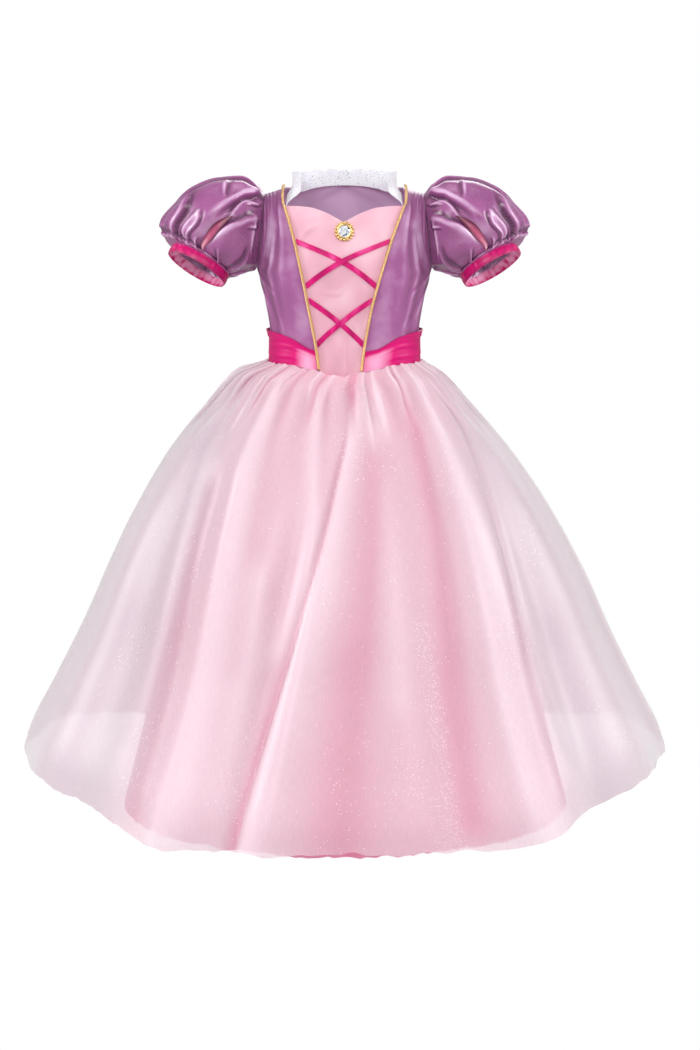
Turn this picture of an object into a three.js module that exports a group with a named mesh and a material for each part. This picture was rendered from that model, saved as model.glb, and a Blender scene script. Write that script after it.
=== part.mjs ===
import * as THREE from "three";

// A child's princess costume dress, filled out as it is worn. Units are millimetres and +Z is up.
// The origin is the middle between the shoulders, +X is the wearer's left and the front faces -Y.

// Cloth walls and the clearances between pieces
const SATIN_WALL = 1.2;
const SHEER_WALL = 1.0;
const COLLAR_WALL = 1.0;
const RIBBON_WALL = 1.0;
const CUFF_WALL = 1.4;
const SEAM_GAP = 0.3;
const LAY_GAP = 0.5;

// Torso: half width and half depths of its rounded sections at each height
const SECTION_POWER = 2.2;
const TORSO = [
  { height: -240, width: 97, front: 76, back: 74 },
  { height: -217, width: 97, front: 77, back: 75 },
  { height: -176, width: 96.5, front: 78, back: 75 },
  { height: -137, width: 102.5, front: 83, back: 79 },
  { height: -96, width: 112, front: 87, back: 84 },
  { height: -50, width: 121, front: 84, back: 86 },
  { height: 0, width: 126, front: 79, back: 84 },
  { height: 40, width: 128, front: 76, back: 80 },
];
const NECK_POINT = { x: 75, z: 6 };
const SHOULDER_TIP = { x: 101.5, z: -2.6 };
const FRONT_ROLL = 50;
const BACK_ROLL = 36;
const ROLL_END = { from: 0.9, to: 1.6 };

// Seams of the bodice
const CORNER_HEIGHT = -15;
const INSERT_EDGE = [
  { height: -240, half: 24 },
  { height: -228, half: 25.6 },
  { height: -197, half: 29.6 },
  { height: -146, half: 38.6 },
  { height: -91, half: 51.5 },
  { height: -40, half: 66 },
  { height: CORNER_HEIGHT, half: 75 },
];
const INSERT_CENTRE = [
  { height: -240, shift: -5.2 },
  { height: -146, shift: -5.4 },
  { height: -115, shift: -4.4 },
  { height: -60, shift: -2 },
  { height: CORNER_HEIGHT, shift: 0 },
];
const INSERT_TOP = [
  { across: 0, height: -36 },
  { across: 0.14, height: -30.5 },
  { across: 0.29, height: -25 },
  { across: 0.58, height: -17.8 },
  { across: 0.8, height: -16.5 },
  { across: 1, height: -16.2 },
];
const UNDERARM_HEIGHT = -96;
const ARMHOLE_DEPTH = 46;
const ARMHOLE_EDGE = [
  { height: UNDERARM_HEIGHT, x: 112 },
  { height: -92, x: 111.2 },
  { height: -70, x: 107 },
  { height: -49, x: 104.3 },
  { height: -31, x: 102.7 },
  { height: SHOULDER_TIP.z, x: SHOULDER_TIP.x },
];
const NECK_FRONT = [
  { along: 0, x: 75, y: -54.4, z: CORNER_HEIGHT },
  { along: 0.35, x: 75.7, y: -38, z: -5 },
  { along: 0.7, x: 75.8, y: -17, z: 3.5 },
  { along: 1, x: NECK_POINT.x, y: 0, z: NECK_POINT.z },
];
const NECK_BACK = [
  { along: 0, x: 0, y: 72, z: 12 },
  { along: 0.2, x: 22, y: 70.5, z: 11 },
  { along: 0.4, x: 43, y: 64, z: 8 },
  { along: 0.55, x: 57, y: 53, z: 5 },
  { along: 0.75, x: 69, y: 31, z: 5.5 },
  { along: 1, x: NECK_POINT.x, y: 0, z: NECK_POINT.z },
];
const WAIST_HEIGHT = -216.5;
const WAIST_DIP = 14;
const WAIST_DIP_REACH = 68;
const WAIST_DIP_BEND = 1.15;
const WAIST_BLEND = 0.2;

// Share of a panel's height at which its side edge reaches the underarm, and its inner edge the neck
const UNDERARM_SHARE = 0.455;
const CORNER_SHARE = 0.78;
const BACK_NECK_SHARE = 0.7;
const FRONT_ROWS = spread([0, UNDERARM_SHARE, CORNER_SHARE, 1], [5, 4, 4]);
const BACK_ROWS = spread([0, UNDERARM_SHARE, BACK_NECK_SHARE, 1], [4, 3, 6]);
const FRONT_COLUMNS = spread([0, 1], [6]);
const BACK_COLUMNS = spread([0, 1], [8]);

// Belt: its top edge, and how far that stands away from the bodice
const BELT_TOP = [
  { x: 0, height: -200 },
  { x: 37, height: -195.7 },
  { x: 65, height: -182 },
  { x: 84, height: -176.5 },
  { x: 98, height: -175 },
];
const BELT_FLARE = 4.6;
const BELT_FLARE_START = 0.66;
const BELT_FLARE_END = 1.15;
const BELT_ROWS = [0, 0.33, 0.66, 0.85, 1];

// Collar: how far it reaches below and above the neck edge, and how far its top leans inwards
const COLLAR_BACK = [
  { along: 0, below: 4, above: 15, lean: -1.5 },
  { along: 0.4, below: 4, above: 18.5, lean: 0 },
  { along: 0.55, below: 5, above: 21, lean: 2 },
  { along: 0.75, below: 9, above: 20.5, lean: 4 },
  { along: 1, below: 11, above: 19.5, lean: 6 },
];
const COLLAR_FRONT = [
  { along: 0, below: 1.5, above: 40, lean: 23 },
  { along: 0.35, below: 6, above: 30, lean: 17 },
  { along: 0.7, below: 9, above: 22, lean: 10 },
  { along: 1, below: 11, above: 19.5, lean: 6 },
];
const COLLAR_LEAN_START = 0.03;
const COLLAR_LEAN_END = 0.5;
const COLLAR_SIDEWAYS = 0.9;
const COLLAR_ROWS = [0, 0.2, 0.45, 0.72, 1];

// Cords, ribbons and brooch on the front
const PIPING_RADIUS = 1.8;
const PIPING_STEPS = 26;
const PIPING_SIDES = 6;
const PIPING_REACH = { from: 0.012, to: 0.985 };
const PIPING_TURN = { before: 0.06, after: 0.08 };
const PIPING_OUTSET = 0.8;
const RIBBON_HALF_WIDTH = 3.3;
const RIBBON_STEPS = 12;
const RIBBON_LIFT = 1.7;
const RIBBON_CROSSING = { from: 0.06, to: 0.22 };
const RIBBONS = [
  { name: "upper_right", start: -60, cross: -84.5, end: -115, lifted: false },
  { name: "upper_left", start: -60, cross: -84.5, end: -115, lifted: true },
  { name: "lower_right", start: -133.5, cross: -162, end: -189, lifted: false },
  { name: "lower_left", start: -133.5, cross: -162, end: -189, lifted: true },
];
const BROOCH_HEIGHT = -47.3;
const BROOCH_RADIUS = 13;
const STONE_RADIUS = 7.4;
const SCALLOPS = 16;
const SCALLOP_DEPTH = 0.07;
const SCALLOP_RIM = 1;
const SETTING_PROFILE = [
  { radius: 0, rise: 0 },
  { radius: BROOCH_RADIUS, rise: 0 },
  { radius: BROOCH_RADIUS, rise: 1.8 },
  { radius: BROOCH_RADIUS - 2.4, rise: 3.6 },
  { radius: STONE_RADIUS + 0.7, rise: 3 },
  { radius: STONE_RADIUS + SEAM_GAP, rise: 1.2 },
  { radius: 0, rise: 1.2 },
];
const STONE_PROFILE = [
  { radius: 0, rise: 1.5 },
  { radius: STONE_RADIUS, rise: 1.5 },
  { radius: STONE_RADIUS, rise: 2.6 },
  { radius: 5, rise: 5.2 },
  { radius: 0, rise: 5.6 },
];
const STONE_FACETS = 12;

// Sleeve rings from the armhole to the cuff, by their top and bottom points in the front view
const SLEEVE_RINGS = [
  { along: 0, topX: 102, topZ: -2.2, lowX: 112.4, lowZ: -96, depth: 46.3, middle: 0, lean: 0 },
  { along: 0.07, topX: 112, topZ: 8, lowX: 116, lowZ: -97.5, depth: 57, middle: 0, lean: 1 },
  { along: 0.2, topX: 133, topZ: 19, lowX: 122, lowZ: -100, depth: 67, middle: -1, lean: 3 },
  { along: 0.36, topX: 162, topZ: 18, lowX: 128, lowZ: -102.5, depth: 71, middle: -4, lean: 6 },
  { along: 0.52, topX: 193, topZ: 8, lowX: 134, lowZ: -105, depth: 69, middle: -7, lean: 9 },
  { along: 0.67, topX: 219, topZ: -13, lowX: 140, lowZ: -107, depth: 62, middle: -10, lean: 12 },
  { along: 0.82, topX: 236, topZ: -38, lowX: 145, lowZ: -107, depth: 52, middle: -11, lean: 15 },
  { along: 0.93, topX: 231, topZ: -54, lowX: 148, lowZ: -106.5, depth: 44, middle: -12, lean: 18 },
  { along: 1, topX: 220, topZ: -67.5, lowX: 150.5, lowZ: -109, depth: 39, middle: -12, lean: 19 },
];
const SLEEVE_ROWS = [0, 0.05, 0.12, 0.24, 0.38, 0.52, 0.66, 0.8, 0.92, 1];
const SLEEVE_COLUMNS = 36;
const CUFF_WIDTH = 10;
const CAP_GATHERS = { count: 10, depth: 3.4, reach: 0.34, start: 0.08, waves: 2, drift: 0.5 };
const CUFF_GATHERS = { count: 10, depth: 3, reach: 0.42, start: 0.1, waves: 3, drift: 0.6 };
const SLEEVE_FULLNESS = 0.7;
const SLEEVE_FOLDS = [
  { cap: 28, cuff: 44, width: 13, depth: 4.5 },
  { cap: 48, cuff: 86, width: 12, depth: 5 },
  { cap: 78, cuff: 118, width: 13, depth: 5.5 },
  { cap: 130, cuff: 142, width: 14, depth: 4 },
  { cap: 176, cuff: 182, width: 14, depth: 2.5 },
  { cap: 238, cuff: 246, width: 16, depth: 5 },
  { cap: 288, cuff: 300, width: 14, depth: 6 },
  { cap: 332, cuff: 342, width: 12, depth: 4.5 },
];
const SLASH = { cap: 65, cuff: 105, width: 10, depth: 5 };
const SLASH_START = 0.34;
const SLASH_END = 0.86;
const SLASH_HALF_ANGLE = 6;
const SLASH_LIFT = 2.4;
const SLASH_OPENING = { from: 0.2, to: 0.45 };
const SLASH_CLOSING = { from: 0.85, to: 1 };
const SLASH_NARROWEST = 0.12;
const SLASH_TAPER = 0.8;

// Skirts: half width and depth share of each layer at each drop below the waist seam
const SKIRT_LENGTH = 553;
const OVER_PROFILE = [
  { drop: 0, width: 100.6, share: 0.8 },
  { drop: 3, width: 106.5, share: 0.8 },
  { drop: 8, width: 118, share: 0.8 },
  { drop: 14, width: 129.5, share: 0.8 },
  { drop: 25, width: 141.5, share: 0.795 },
  { drop: 50, width: 163, share: 0.79 },
  { drop: 90, width: 198, share: 0.785 },
  { drop: 130, width: 228, share: 0.78 },
  { drop: 210, width: 276, share: 0.775 },
  { drop: 290, width: 315, share: 0.77 },
  { drop: 373, width: 350, share: 0.765 },
  { drop: 455, width: 389, share: 0.765 },
  { drop: 520, width: 421, share: 0.765 },
  { drop: SKIRT_LENGTH, width: 431, share: 0.76 },
];
const UNDER_PROFILE = [
  { drop: 0, width: 96.4, share: 0.795 },
  { drop: 3, width: 100, share: 0.8 },
  { drop: 8, width: 110.5, share: 0.795 },
  { drop: 14, width: 121.5, share: 0.79 },
  { drop: 25, width: 132.5, share: 0.785 },
  { drop: 56, width: 155, share: 0.785 },
  { drop: 120, width: 174, share: 0.83 },
  { drop: 206, width: 195, share: 0.89 },
  { drop: 375, width: 247, share: 0.955 },
  { drop: SKIRT_LENGTH, width: 298, share: 0.985 },
];
const OVER_DROPS = [0, 5, 14, 34, 66, 112, 176, 258, 350, 452, SKIRT_LENGTH];
const UNDER_DROPS = [0, 6, 16, 40, 90, 190, 350, SKIRT_LENGTH];
// Sideways sway of both layers, and the height of each hem around the plan
const SWAY = [
  { drop: 0, shift: 0 },
  { drop: 14, shift: -6.5 },
  { drop: 90, shift: -7.5 },
  { drop: 190, shift: -4 },
  { drop: 320, shift: 0 },
];
const OVER_HEM = [
  { azimuth: 0, height: -774 },
  { azimuth: 18, height: -776 },
  { azimuth: 28, height: -781 },
  { azimuth: 36, height: -770 },
  { azimuth: 43, height: -756 },
  { azimuth: 55, height: -743 },
  { azimuth: 64, height: -733 },
  { azimuth: 90, height: -731 },
];
const UNDER_HEM = [
  { azimuth: 0, height: -789 },
  { azimuth: 30, height: -791 },
  { azimuth: 60, height: -800 },
  { azimuth: 90, height: -808 },
];
const OVER_GATHERS = { count: 36, depth: 3.6, top: 0.9, rise: 18, reach: 120 };
const UNDER_GATHERS = { count: 24, depth: 1.8, top: 0.4, rise: 18, reach: 120 };
const GATHER_DRIFTS = [
  { waves: 5, size: 0.55, start: 0 },
  { waves: 3, size: 0.7, start: 1 },
];
const COLUMNS_PER_GATHER = 4;
const FOLD_SWEEP = 0.6;
const FOLD_GROWTH = { from: 0.03, to: 0.8 };
const ROUND_SHARE = 0.25;
const OVER_FOLDS = [
  { waist: -118, hem: -112, left: 10, right: 9, depth: 19 },
  { waist: -92, hem: -89, left: 9, right: 11, depth: 14 },
  { waist: -68, hem: -64, left: 10, right: 10, depth: 18 },
  { waist: -44, hem: -38, left: 9, right: 8, depth: 20 },
  { waist: -13, hem: -27, left: 8, right: 6, depth: 14 },
  { waist: 5, hem: -13, left: 4, right: 10, depth: 26 },
  { waist: 20, hem: 11, left: 9, right: 9, depth: 18 },
  { waist: 42, hem: 36, left: 10, right: 7, depth: 23 },
  { waist: 67, hem: 62, left: 10, right: 10, depth: 16 },
  { waist: 90, hem: 89, left: 11, right: 9, depth: 14 },
  { waist: 112, hem: 114, left: 9, right: 12, depth: 20 },
  { waist: 137, hem: 139, left: 10, right: 8, depth: 16 },
  { waist: 158, hem: 163, left: 8, right: 11, depth: 22 },
  { waist: 180, hem: 186, left: 10, right: 8, depth: 16 },
  { waist: 203, hem: 209, left: 7, right: 10, depth: 23 },
  { waist: 224, hem: 230, left: 9, right: 8, depth: 18 },
];
const UNDER_FOLDS = [
  { waist: -104, hem: -100, left: 11, right: 10, depth: 8 },
  { waist: -78, hem: -76, left: 11, right: 11, depth: 6 },
  { waist: -54, hem: -52, left: 10, right: 11, depth: 9 },
  { waist: -28, hem: -30, left: 11, right: 9, depth: 8 },
  { waist: -4, hem: -9, left: 9, right: 12, depth: 9 },
  { waist: 20, hem: 14, left: 11, right: 9, depth: 7 },
  { waist: 43, hem: 37, left: 10, right: 11, depth: 9 },
  { waist: 68, hem: 61, left: 12, right: 9, depth: 7 },
  { waist: 92, hem: 86, left: 10, right: 12, depth: 7 },
  { waist: 117, hem: 112, left: 12, right: 10, depth: 9 },
  { waist: 143, hem: 140, left: 10, right: 12, depth: 7 },
  { waist: 168, hem: 168, left: 12, right: 10, depth: 9 },
  { waist: 196, hem: 198, left: 11, right: 12, depth: 7 },
  { waist: 225, hem: 230, left: 12, right: 11, depth: 8 },
];

const NORMAL_STEP = 0.002;
const SLOPE_STEP = 0.01;
const FULL_TURN = 2 * Math.PI;
const QUARTER_TURN = Math.PI / 2;
const DEGREE = Math.PI / 180;

// Materials
const PURPLE = { color: 0x9b558f, roughness: 0.35, metalness: 0 };
const PALE_PINK = { color: 0xf7c9d6, roughness: 0.45, metalness: 0 };
const HOT_PINK = { color: 0xdc2386, roughness: 0.4, metalness: 0 };
const SKIRT_PINK = { color: 0xf3c2d3, roughness: 0.5, metalness: 0 };
const ORGANZA = { color: 0xecdfe6, roughness: 0.4, metalness: 0 };
const GLITTER_WHITE = { color: 0xe3e3ec, roughness: 0.5, metalness: 0 };
const GOLD = { color: 0xd8ab6a, roughness: 0.35, metalness: 0.8 };
const CRYSTAL = { color: 0xd9e6ee, roughness: 0.05, metalness: 0 };

// Evenly spread stops between breakpoints, with the given number of steps in each stretch
function spread(breaks, counts) {
  const stops = [breaks[0]];
  counts.forEach((count, stretch) => {
    const from = breaks[stretch];
    const to = breaks[stretch + 1];
    for (let i = 1; i <= count; i += 1) {
      stops.push(from + ((to - from) * i) / count);
    }
  });
  return stops;
}

function mix(from, to, share) {
  return from + (to - from) * share;
}

function smoothStep(from, to, value) {
  const share = Math.min(1, Math.max(0, (value - from) / (to - from)));
  return share * share * (3 - 2 * share);
}

// Smooth value of one column of a table, read at a value of its key column
function read(rows, key, column, at) {
  let i = 0;
  while (i < rows.length - 2 && at > rows[i + 1][key]) {
    i += 1;
  }
  const slope = (k) => (rows[k + 1][column] - rows[k][column]) / (rows[k + 1][key] - rows[k][key]);
  const tangent = (k) => {
    if (k === 0) {
      return slope(0);
    }
    if (k === rows.length - 1) {
      return slope(k - 1);
    }
    const before = slope(k - 1);
    const after = slope(k);
    return before * after <= 0 ? 0 : (2 * before * after) / (before + after);
  };
  const span = rows[i + 1][key] - rows[i][key];
  const t = Math.min(1, Math.max(0, (at - rows[i][key]) / span));
  const squared = t * t;
  const cubed = squared * t;
  return (
    (2 * cubed - 3 * squared + 1) * rows[i][column] +
    (cubed - 2 * squared + t) * span * tangent(i) +
    (3 * squared - 2 * cubed) * rows[i + 1][column] +
    (cubed - squared) * span * tangent(i + 1)
  );
}

// Outward direction of a surface, given as a function of a column and a row value
function surfaceNormal(point, column, row, limits) {
  const a = point(Math.max(limits.left, column - NORMAL_STEP), row);
  const b = point(Math.min(limits.right, column + NORMAL_STEP), row);
  const c = point(column, Math.max(limits.low, row - NORMAL_STEP));
  const d = point(column, Math.min(limits.high, row + NORMAL_STEP));
  return b.sub(a).cross(d.sub(c)).normalize();
}

// A closed cloth wall: the surface is its outer face, and the inner face lies the wall's thickness
// behind it. A wrapped wall joins its last column to its first.
function clothWall(options) {
  const { point, columns, rows, wall } = options;
  const { wrapped = false, flipped = false, clearOfCentre = false } = options;
  const limits = {
    left: wrapped ? -Infinity : columns[0],
    right: wrapped ? Infinity : columns[columns.length - 1],
    low: rows[0],
    high: rows[rows.length - 1],
  };
  const across = wrapped ? columns.length - 1 : columns.length;
  const side = flipped ? -1 : 1;
  const outer = [];
  const inner = [];
  rows.forEach((row) => {
    for (let c = 0; c < across; c += 1) {
      const here = point(columns[c], row);
      const normal = surfaceNormal(point, columns[c], row, limits);
      const behind = here.clone().addScaledVector(normal, -side * wall);
      if (clearOfCentre && Math.abs(here.x) < SEAM_GAP) {
        behind.x = here.x;
      }
      outer.push(here);
      inner.push(behind);
    }
  });
  const cellColumns = wrapped ? across : across - 1;
  const back = outer.length;
  const index = (row, column) => row * across + (column % across);
  const faces = [];
  const quad = (a, b, c, d) => {
    faces.push(a, b, c, a, c, d);
  };
  for (let r = 0; r < rows.length - 1; r += 1) {
    for (let c = 0; c < cellColumns; c += 1) {
      const corners = [index(r, c), index(r, c + 1), index(r + 1, c + 1), index(r + 1, c)];
      quad(...corners);
      quad(...corners.map((corner) => corner + back).reverse());
    }
  }
  const edge = (from, to) => quad(to, from, from + back, to + back);
  const top = rows.length - 1;
  for (let c = 0; c < cellColumns; c += 1) {
    edge(index(0, c), index(0, c + 1));
    edge(index(top, c + 1), index(top, c));
  }
  if (!wrapped) {
    for (let r = 0; r < top; r += 1) {
      edge(index(r + 1, 0), index(r, 0));
      edge(index(r, across - 1), index(r + 1, across - 1));
    }
  }
  return solidFrom([...outer, ...inner], faces);
}

// Geometry of a closed solid, turned so that its faces point outwards
function solidFrom(points, faces) {
  let volume = 0;
  for (let i = 0; i < faces.length; i += 3) {
    const [a, b, c] = [points[faces[i]], points[faces[i + 1]], points[faces[i + 2]]];
    volume += a.dot(b.clone().cross(c));
  }
  if (volume < 0) {
    faces.reverse();
  }
  const geometry = new THREE.BufferGeometry();
  const places = points.flatMap((point) => point.toArray());
  geometry.setAttribute("position", new THREE.Float32BufferAttribute(places, 3));
  geometry.setIndex(faces);
  geometry.computeVertexNormals();
  return geometry;
}

function piece(name, geometry, material) {
  const mesh = new THREE.Mesh(geometry, new THREE.MeshStandardMaterial(material));
  mesh.name = name;
  return mesh;
}

// Torso form
function ridgeHeight(x) {
  const slope = (SHOULDER_TIP.z - NECK_POINT.z) / (SHOULDER_TIP.x - NECK_POINT.x);
  return NECK_POINT.z + slope * (Math.abs(x) - NECK_POINT.x);
}

function rollOf(face) {
  return face === "front" ? FRONT_ROLL : BACK_ROLL;
}

function rollShare(drop) {
  const share = Math.min(1, Math.max(0, drop));
  return Math.sqrt(1 - (1 - share) * (1 - share));
}

function torsoWidth(height) {
  return read(TORSO, "height", "width", height);
}

// Section angle of a place x at a height: 0 at the centre line, a quarter turn at the side
function torsoAngle(x, height) {
  const share = Math.min(1, Math.max(0, x / torsoWidth(height)));
  return Math.asin(share ** (SECTION_POWER / 2));
}

function torsoPoint(face, angle, height, drop = 1) {
  const bend = 2 / SECTION_POWER;
  const x = torsoWidth(height) * Math.sin(angle) ** bend;
  const depth = read(TORSO, "height", face, height);
  const y = depth * Math.max(0, Math.cos(angle)) ** bend * rollShare(drop);
  return new THREE.Vector3(x, face === "front" ? -y : y, height);
}

function dropOf(face, x, height) {
  return (ridgeHeight(x) - height) / rollOf(face);
}

function waistHeight(x) {
  return WAIST_HEIGHT - WAIST_DIP * Math.max(0, 1 - Math.abs(x) / WAIST_DIP_REACH) ** WAIST_DIP_BEND;
}

// A patch of the torso between an inner and an outer edge. It passes exactly through both edges.
function torsoPatch(face, inner, outer, across) {
  const height = mix(inner.z, outer.z, across);
  const innerAngle = torsoAngle(inner.x, inner.z);
  const outerAngle = torsoAngle(outer.x, outer.z);
  const innerDrop = dropOf(face, inner.x, inner.z);
  const outerDrop = dropOf(face, outer.x, outer.z);
  const drop = mix(innerDrop, outerDrop, across);
  const place = torsoPoint(face, mix(innerAngle, outerAngle, across), height, drop);
  const rolled = ridgeHeight(place.x) - drop * rollOf(face);
  place.z = mix(rolled, height, smoothStep(ROLL_END.from, ROLL_END.to, drop));
  const innerMiss = inner.y - torsoPoint(face, innerAngle, inner.z, innerDrop).y;
  const outerMiss = outer.y - torsoPoint(face, outerAngle, outer.z, outerDrop).y;
  place.y += mix(innerMiss, outerMiss, across);
  return place;
}

function onTorso(face, x, height) {
  const place = torsoPoint(face, torsoAngle(Math.abs(x), height), height, dropOf(face, x, height));
  place.x = x;
  return place;
}

// Seam line beside the insert, on the side given by sign, moved outwards by a clearance
function insertSeam(sign, height, clearance) {
  const shift = sign * read(INSERT_CENTRE, "height", "shift", height);
  const x = shift + read(INSERT_EDGE, "height", "half", height) + clearance;
  return onTorso("front", x, height);
}

// Side and armhole edge shared by the front and back panels
function sideEdge(face, share) {
  const direction = face === "front" ? -1 : 1;
  if (share <= UNDERARM_SHARE) {
    const height = mix(WAIST_HEIGHT, UNDERARM_HEIGHT, share / UNDERARM_SHARE);
    return new THREE.Vector3(torsoWidth(height), (direction * SEAM_GAP) / 2, height);
  }
  const turn = (Math.PI * (share - UNDERARM_SHARE)) / (1 - UNDERARM_SHARE);
  return armholePoint(turn, direction);
}

function armholePoint(turn, direction) {
  const middle = (UNDERARM_HEIGHT + SHOULDER_TIP.z) / 2;
  const half = (SHOULDER_TIP.z - UNDERARM_HEIGHT) / 2;
  const height = middle - half * Math.cos(turn);
  const x = read(ARMHOLE_EDGE, "height", "x", height);
  const y = direction * (SEAM_GAP / 2 + ARMHOLE_DEPTH * Math.sin(turn));
  return new THREE.Vector3(x, y, height);
}

function neckPoint(rows, along) {
  const [x, y, z] = ["x", "y", "z"].map((column) => read(rows, "along", column, along));
  return new THREE.Vector3(x, y, z);
}

function frontInnerEdge(sign, share) {
  if (share <= CORNER_SHARE) {
    const low = waistHeight(insertSeam(sign, INSERT_EDGE[1].height, SEAM_GAP).x);
    return insertSeam(sign, mix(low, CORNER_HEIGHT, share / CORNER_SHARE), SEAM_GAP);
  }
  const place = neckPoint(NECK_FRONT, (share - CORNER_SHARE) / (1 - CORNER_SHARE));
  place.x += SEAM_GAP / 2;
  place.y = Math.min(place.y, -SEAM_GAP / 2);
  return place;
}

function backInnerEdge(share) {
  if (share <= BACK_NECK_SHARE) {
    const height = mix(WAIST_HEIGHT, NECK_BACK[0].z, share / BACK_NECK_SHARE);
    const along = smoothStep(NECK_BACK[0].z - BACK_ROLL, NECK_BACK[0].z, height);
    const place = onTorso("back", SEAM_GAP / 2, height);
    place.y += along * (NECK_BACK[0].y - onTorso("back", SEAM_GAP / 2, NECK_BACK[0].z).y);
    return place;
  }
  const place = neckPoint(NECK_BACK, (share - BACK_NECK_SHARE) / (1 - BACK_NECK_SHARE));
  place.x = Math.max(place.x, SEAM_GAP / 2);
  place.y = Math.max(place.y, SEAM_GAP / 2);
  return place;
}

function frontPanelPoint(sign, across, share) {
  const place = torsoPatch("front", frontInnerEdge(sign, share), sideEdge("front", share), across);
  const straight = mix(frontInnerEdge(sign, 0).z, WAIST_HEIGHT, across);
  place.z += (waistHeight(place.x) - straight) * (1 - smoothStep(0, WAIST_BLEND, share));
  return place;
}

function backPanelPoint(across, share) {
  return torsoPatch("back", backInnerEdge(share), sideEdge("back", share), across);
}

function mirrored(sign, place) {
  place.x *= sign;
  return place;
}

function bodiceFront(sign) {
  const point = (across, share) => mirrored(sign, frontPanelPoint(sign, across, share));
  return clothWall({
    point,
    columns: FRONT_COLUMNS,
    rows: FRONT_ROWS,
    wall: SATIN_WALL,
    flipped: sign < 0,
  });
}

function bodiceBack(sign) {
  const point = (across, share) => mirrored(sign, backPanelPoint(across, share));
  return clothWall({
    point,
    columns: BACK_COLUMNS,
    rows: BACK_ROWS,
    wall: SATIN_WALL,
    flipped: sign > 0,
    clearOfCentre: true,
  });
}

// Insert of the front, from the waist to its heart-shaped top edge
function insertPoint(across, share) {
  const low = waistHeight(INSERT_CENTRE[0].shift + across * INSERT_EDGE[1].half);
  const high = read(INSERT_TOP, "across", "height", Math.abs(across));
  const height = mix(low, high, share);
  const half = read(INSERT_EDGE, "height", "half", height) - SEAM_GAP / 2;
  const shift = read(INSERT_CENTRE, "height", "shift", height);
  return onTorso("front", shift + across * half, height);
}

function frontInsert() {
  return clothWall({
    point: insertPoint,
    columns: spread([-1, 1], [10]),
    rows: spread([0, 1], [9]),
    wall: SATIN_WALL,
  });
}

// Belt: one band on each side, from the piping to the centre back
function beltPoint(sign, column, share) {
  const face = column <= 1 ? "front" : "back";
  const across = column <= 1 ? column : 2 - column;
  const low = WAIST_HEIGHT + LAY_GAP;
  const angleAt = (height) => {
    const seam = torsoAngle(insertSeam(sign, height, PIPING_RADIUS + LAY_GAP).x, height);
    const start = face === "front" ? seam : torsoAngle(SEAM_GAP / 2, height);
    return mix(start, QUARTER_TURN, across);
  };
  const x = torsoPoint(face, angleAt(low), low).x;
  const bottom = face === "front" ? waistHeight(x) + LAY_GAP : low;
  const top = face === "front" ? read(BELT_TOP, "x", "height", x) : BELT_TOP.at(-1).height;
  const height = mix(bottom, top, share);
  const angle = angleAt(height);
  const surface = (a, h) => torsoPoint(face, a, h);
  const limits = { left: 0, right: QUARTER_TURN, low: -Infinity, high: Infinity };
  const normal = surfaceNormal(surface, angle, height, limits);
  const outwards = face === "front" ? 1 : -1;
  const opening = smoothStep(BELT_FLARE_START, BELT_FLARE_END, share);
  const flare = BELT_FLARE * Math.sin(angle) ** 2 * opening;
  return surface(angle, height).addScaledVector(normal, outwards * (LAY_GAP + SATIN_WALL + flare));
}

function belt(sign) {
  const columns = [...FRONT_COLUMNS, ...BACK_COLUMNS.slice(1).map((column) => 1 + column)];
  return clothWall({
    point: (column, share) => mirrored(sign, beltPoint(sign, column, share)),
    columns,
    rows: BELT_ROWS,
    wall: SATIN_WALL,
    flipped: sign < 0,
  });
}

// Collar: half a standing band just inside the neck edge, from the centre back to the front corner
function collarPoint(column, share) {
  const isBack = column <= 1;
  const along = isBack ? column : 2 - column;
  const neck = isBack ? NECK_BACK : NECK_FRONT;
  const reach = isBack ? COLLAR_BACK : COLLAR_FRONT;
  const place = neckPoint(neck, along);
  const inwards = new THREE.Vector3(-place.x * COLLAR_SIDEWAYS, -place.y, 0).normalize();
  const below = read(reach, "along", "below", along);
  const above = read(reach, "along", "above", along);
  const lean = read(reach, "along", "lean", along) * smoothStep(COLLAR_LEAN_START, COLLAR_LEAN_END, share);
  place.addScaledVector(inwards, SATIN_WALL + 2 * LAY_GAP + lean);
  place.x = Math.max(place.x, SEAM_GAP / 2);
  place.z += mix(-below, above, share);
  return place;
}

function collar(sign) {
  return clothWall({
    point: (column, share) => mirrored(sign, collarPoint(column, share)),
    columns: spread([0, 1, 2], [7, 6]),
    rows: COLLAR_ROWS,
    wall: COLLAR_WALL,
    flipped: sign > 0,
    clearOfCentre: true,
  });
}

// Piping: a round cord over the insert's seam, then along the front of the neck edge
function pipingCentre(sign, share) {
  const seamShare = mix(PIPING_REACH.from, PIPING_REACH.to, share);
  const edge = frontInnerEdge(sign, seamShare);
  const normal = surfaceNormal(
    (across, row) => frontPanelPoint(sign, across, row),
    0,
    seamShare,
    { left: 0, right: 1, low: 0, high: 1 - SLOPE_STEP },
  );
  const turn = { from: CORNER_SHARE - PIPING_TURN.before, to: CORNER_SHARE + PIPING_TURN.after };
  const outwards = smoothStep(turn.from, turn.to, seamShare);
  edge.addScaledVector(normal, PIPING_RADIUS + LAY_GAP * (1 + 2 * outwards));
  edge.x += outwards * PIPING_RADIUS * PIPING_OUTSET;
  return mirrored(sign, edge);
}

function piping(sign) {
  const centres = spread([0, 1], [PIPING_STEPS]).map((share) => pipingCentre(sign, share));
  const outline = new THREE.Shape();
  for (let i = 0; i < PIPING_SIDES; i += 1) {
    const turn = (FULL_TURN * i) / PIPING_SIDES;
    const corner = [PIPING_RADIUS * Math.cos(turn), PIPING_RADIUS * Math.sin(turn)];
    if (i === 0) {
      outline.moveTo(...corner);
    } else {
      outline.lineTo(...corner);
    }
  }
  outline.closePath();
  return new THREE.ExtrudeGeometry(outline, {
    steps: PIPING_STEPS,
    extrudePath: new THREE.CatmullRomCurve3(centres),
  });
}

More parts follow.
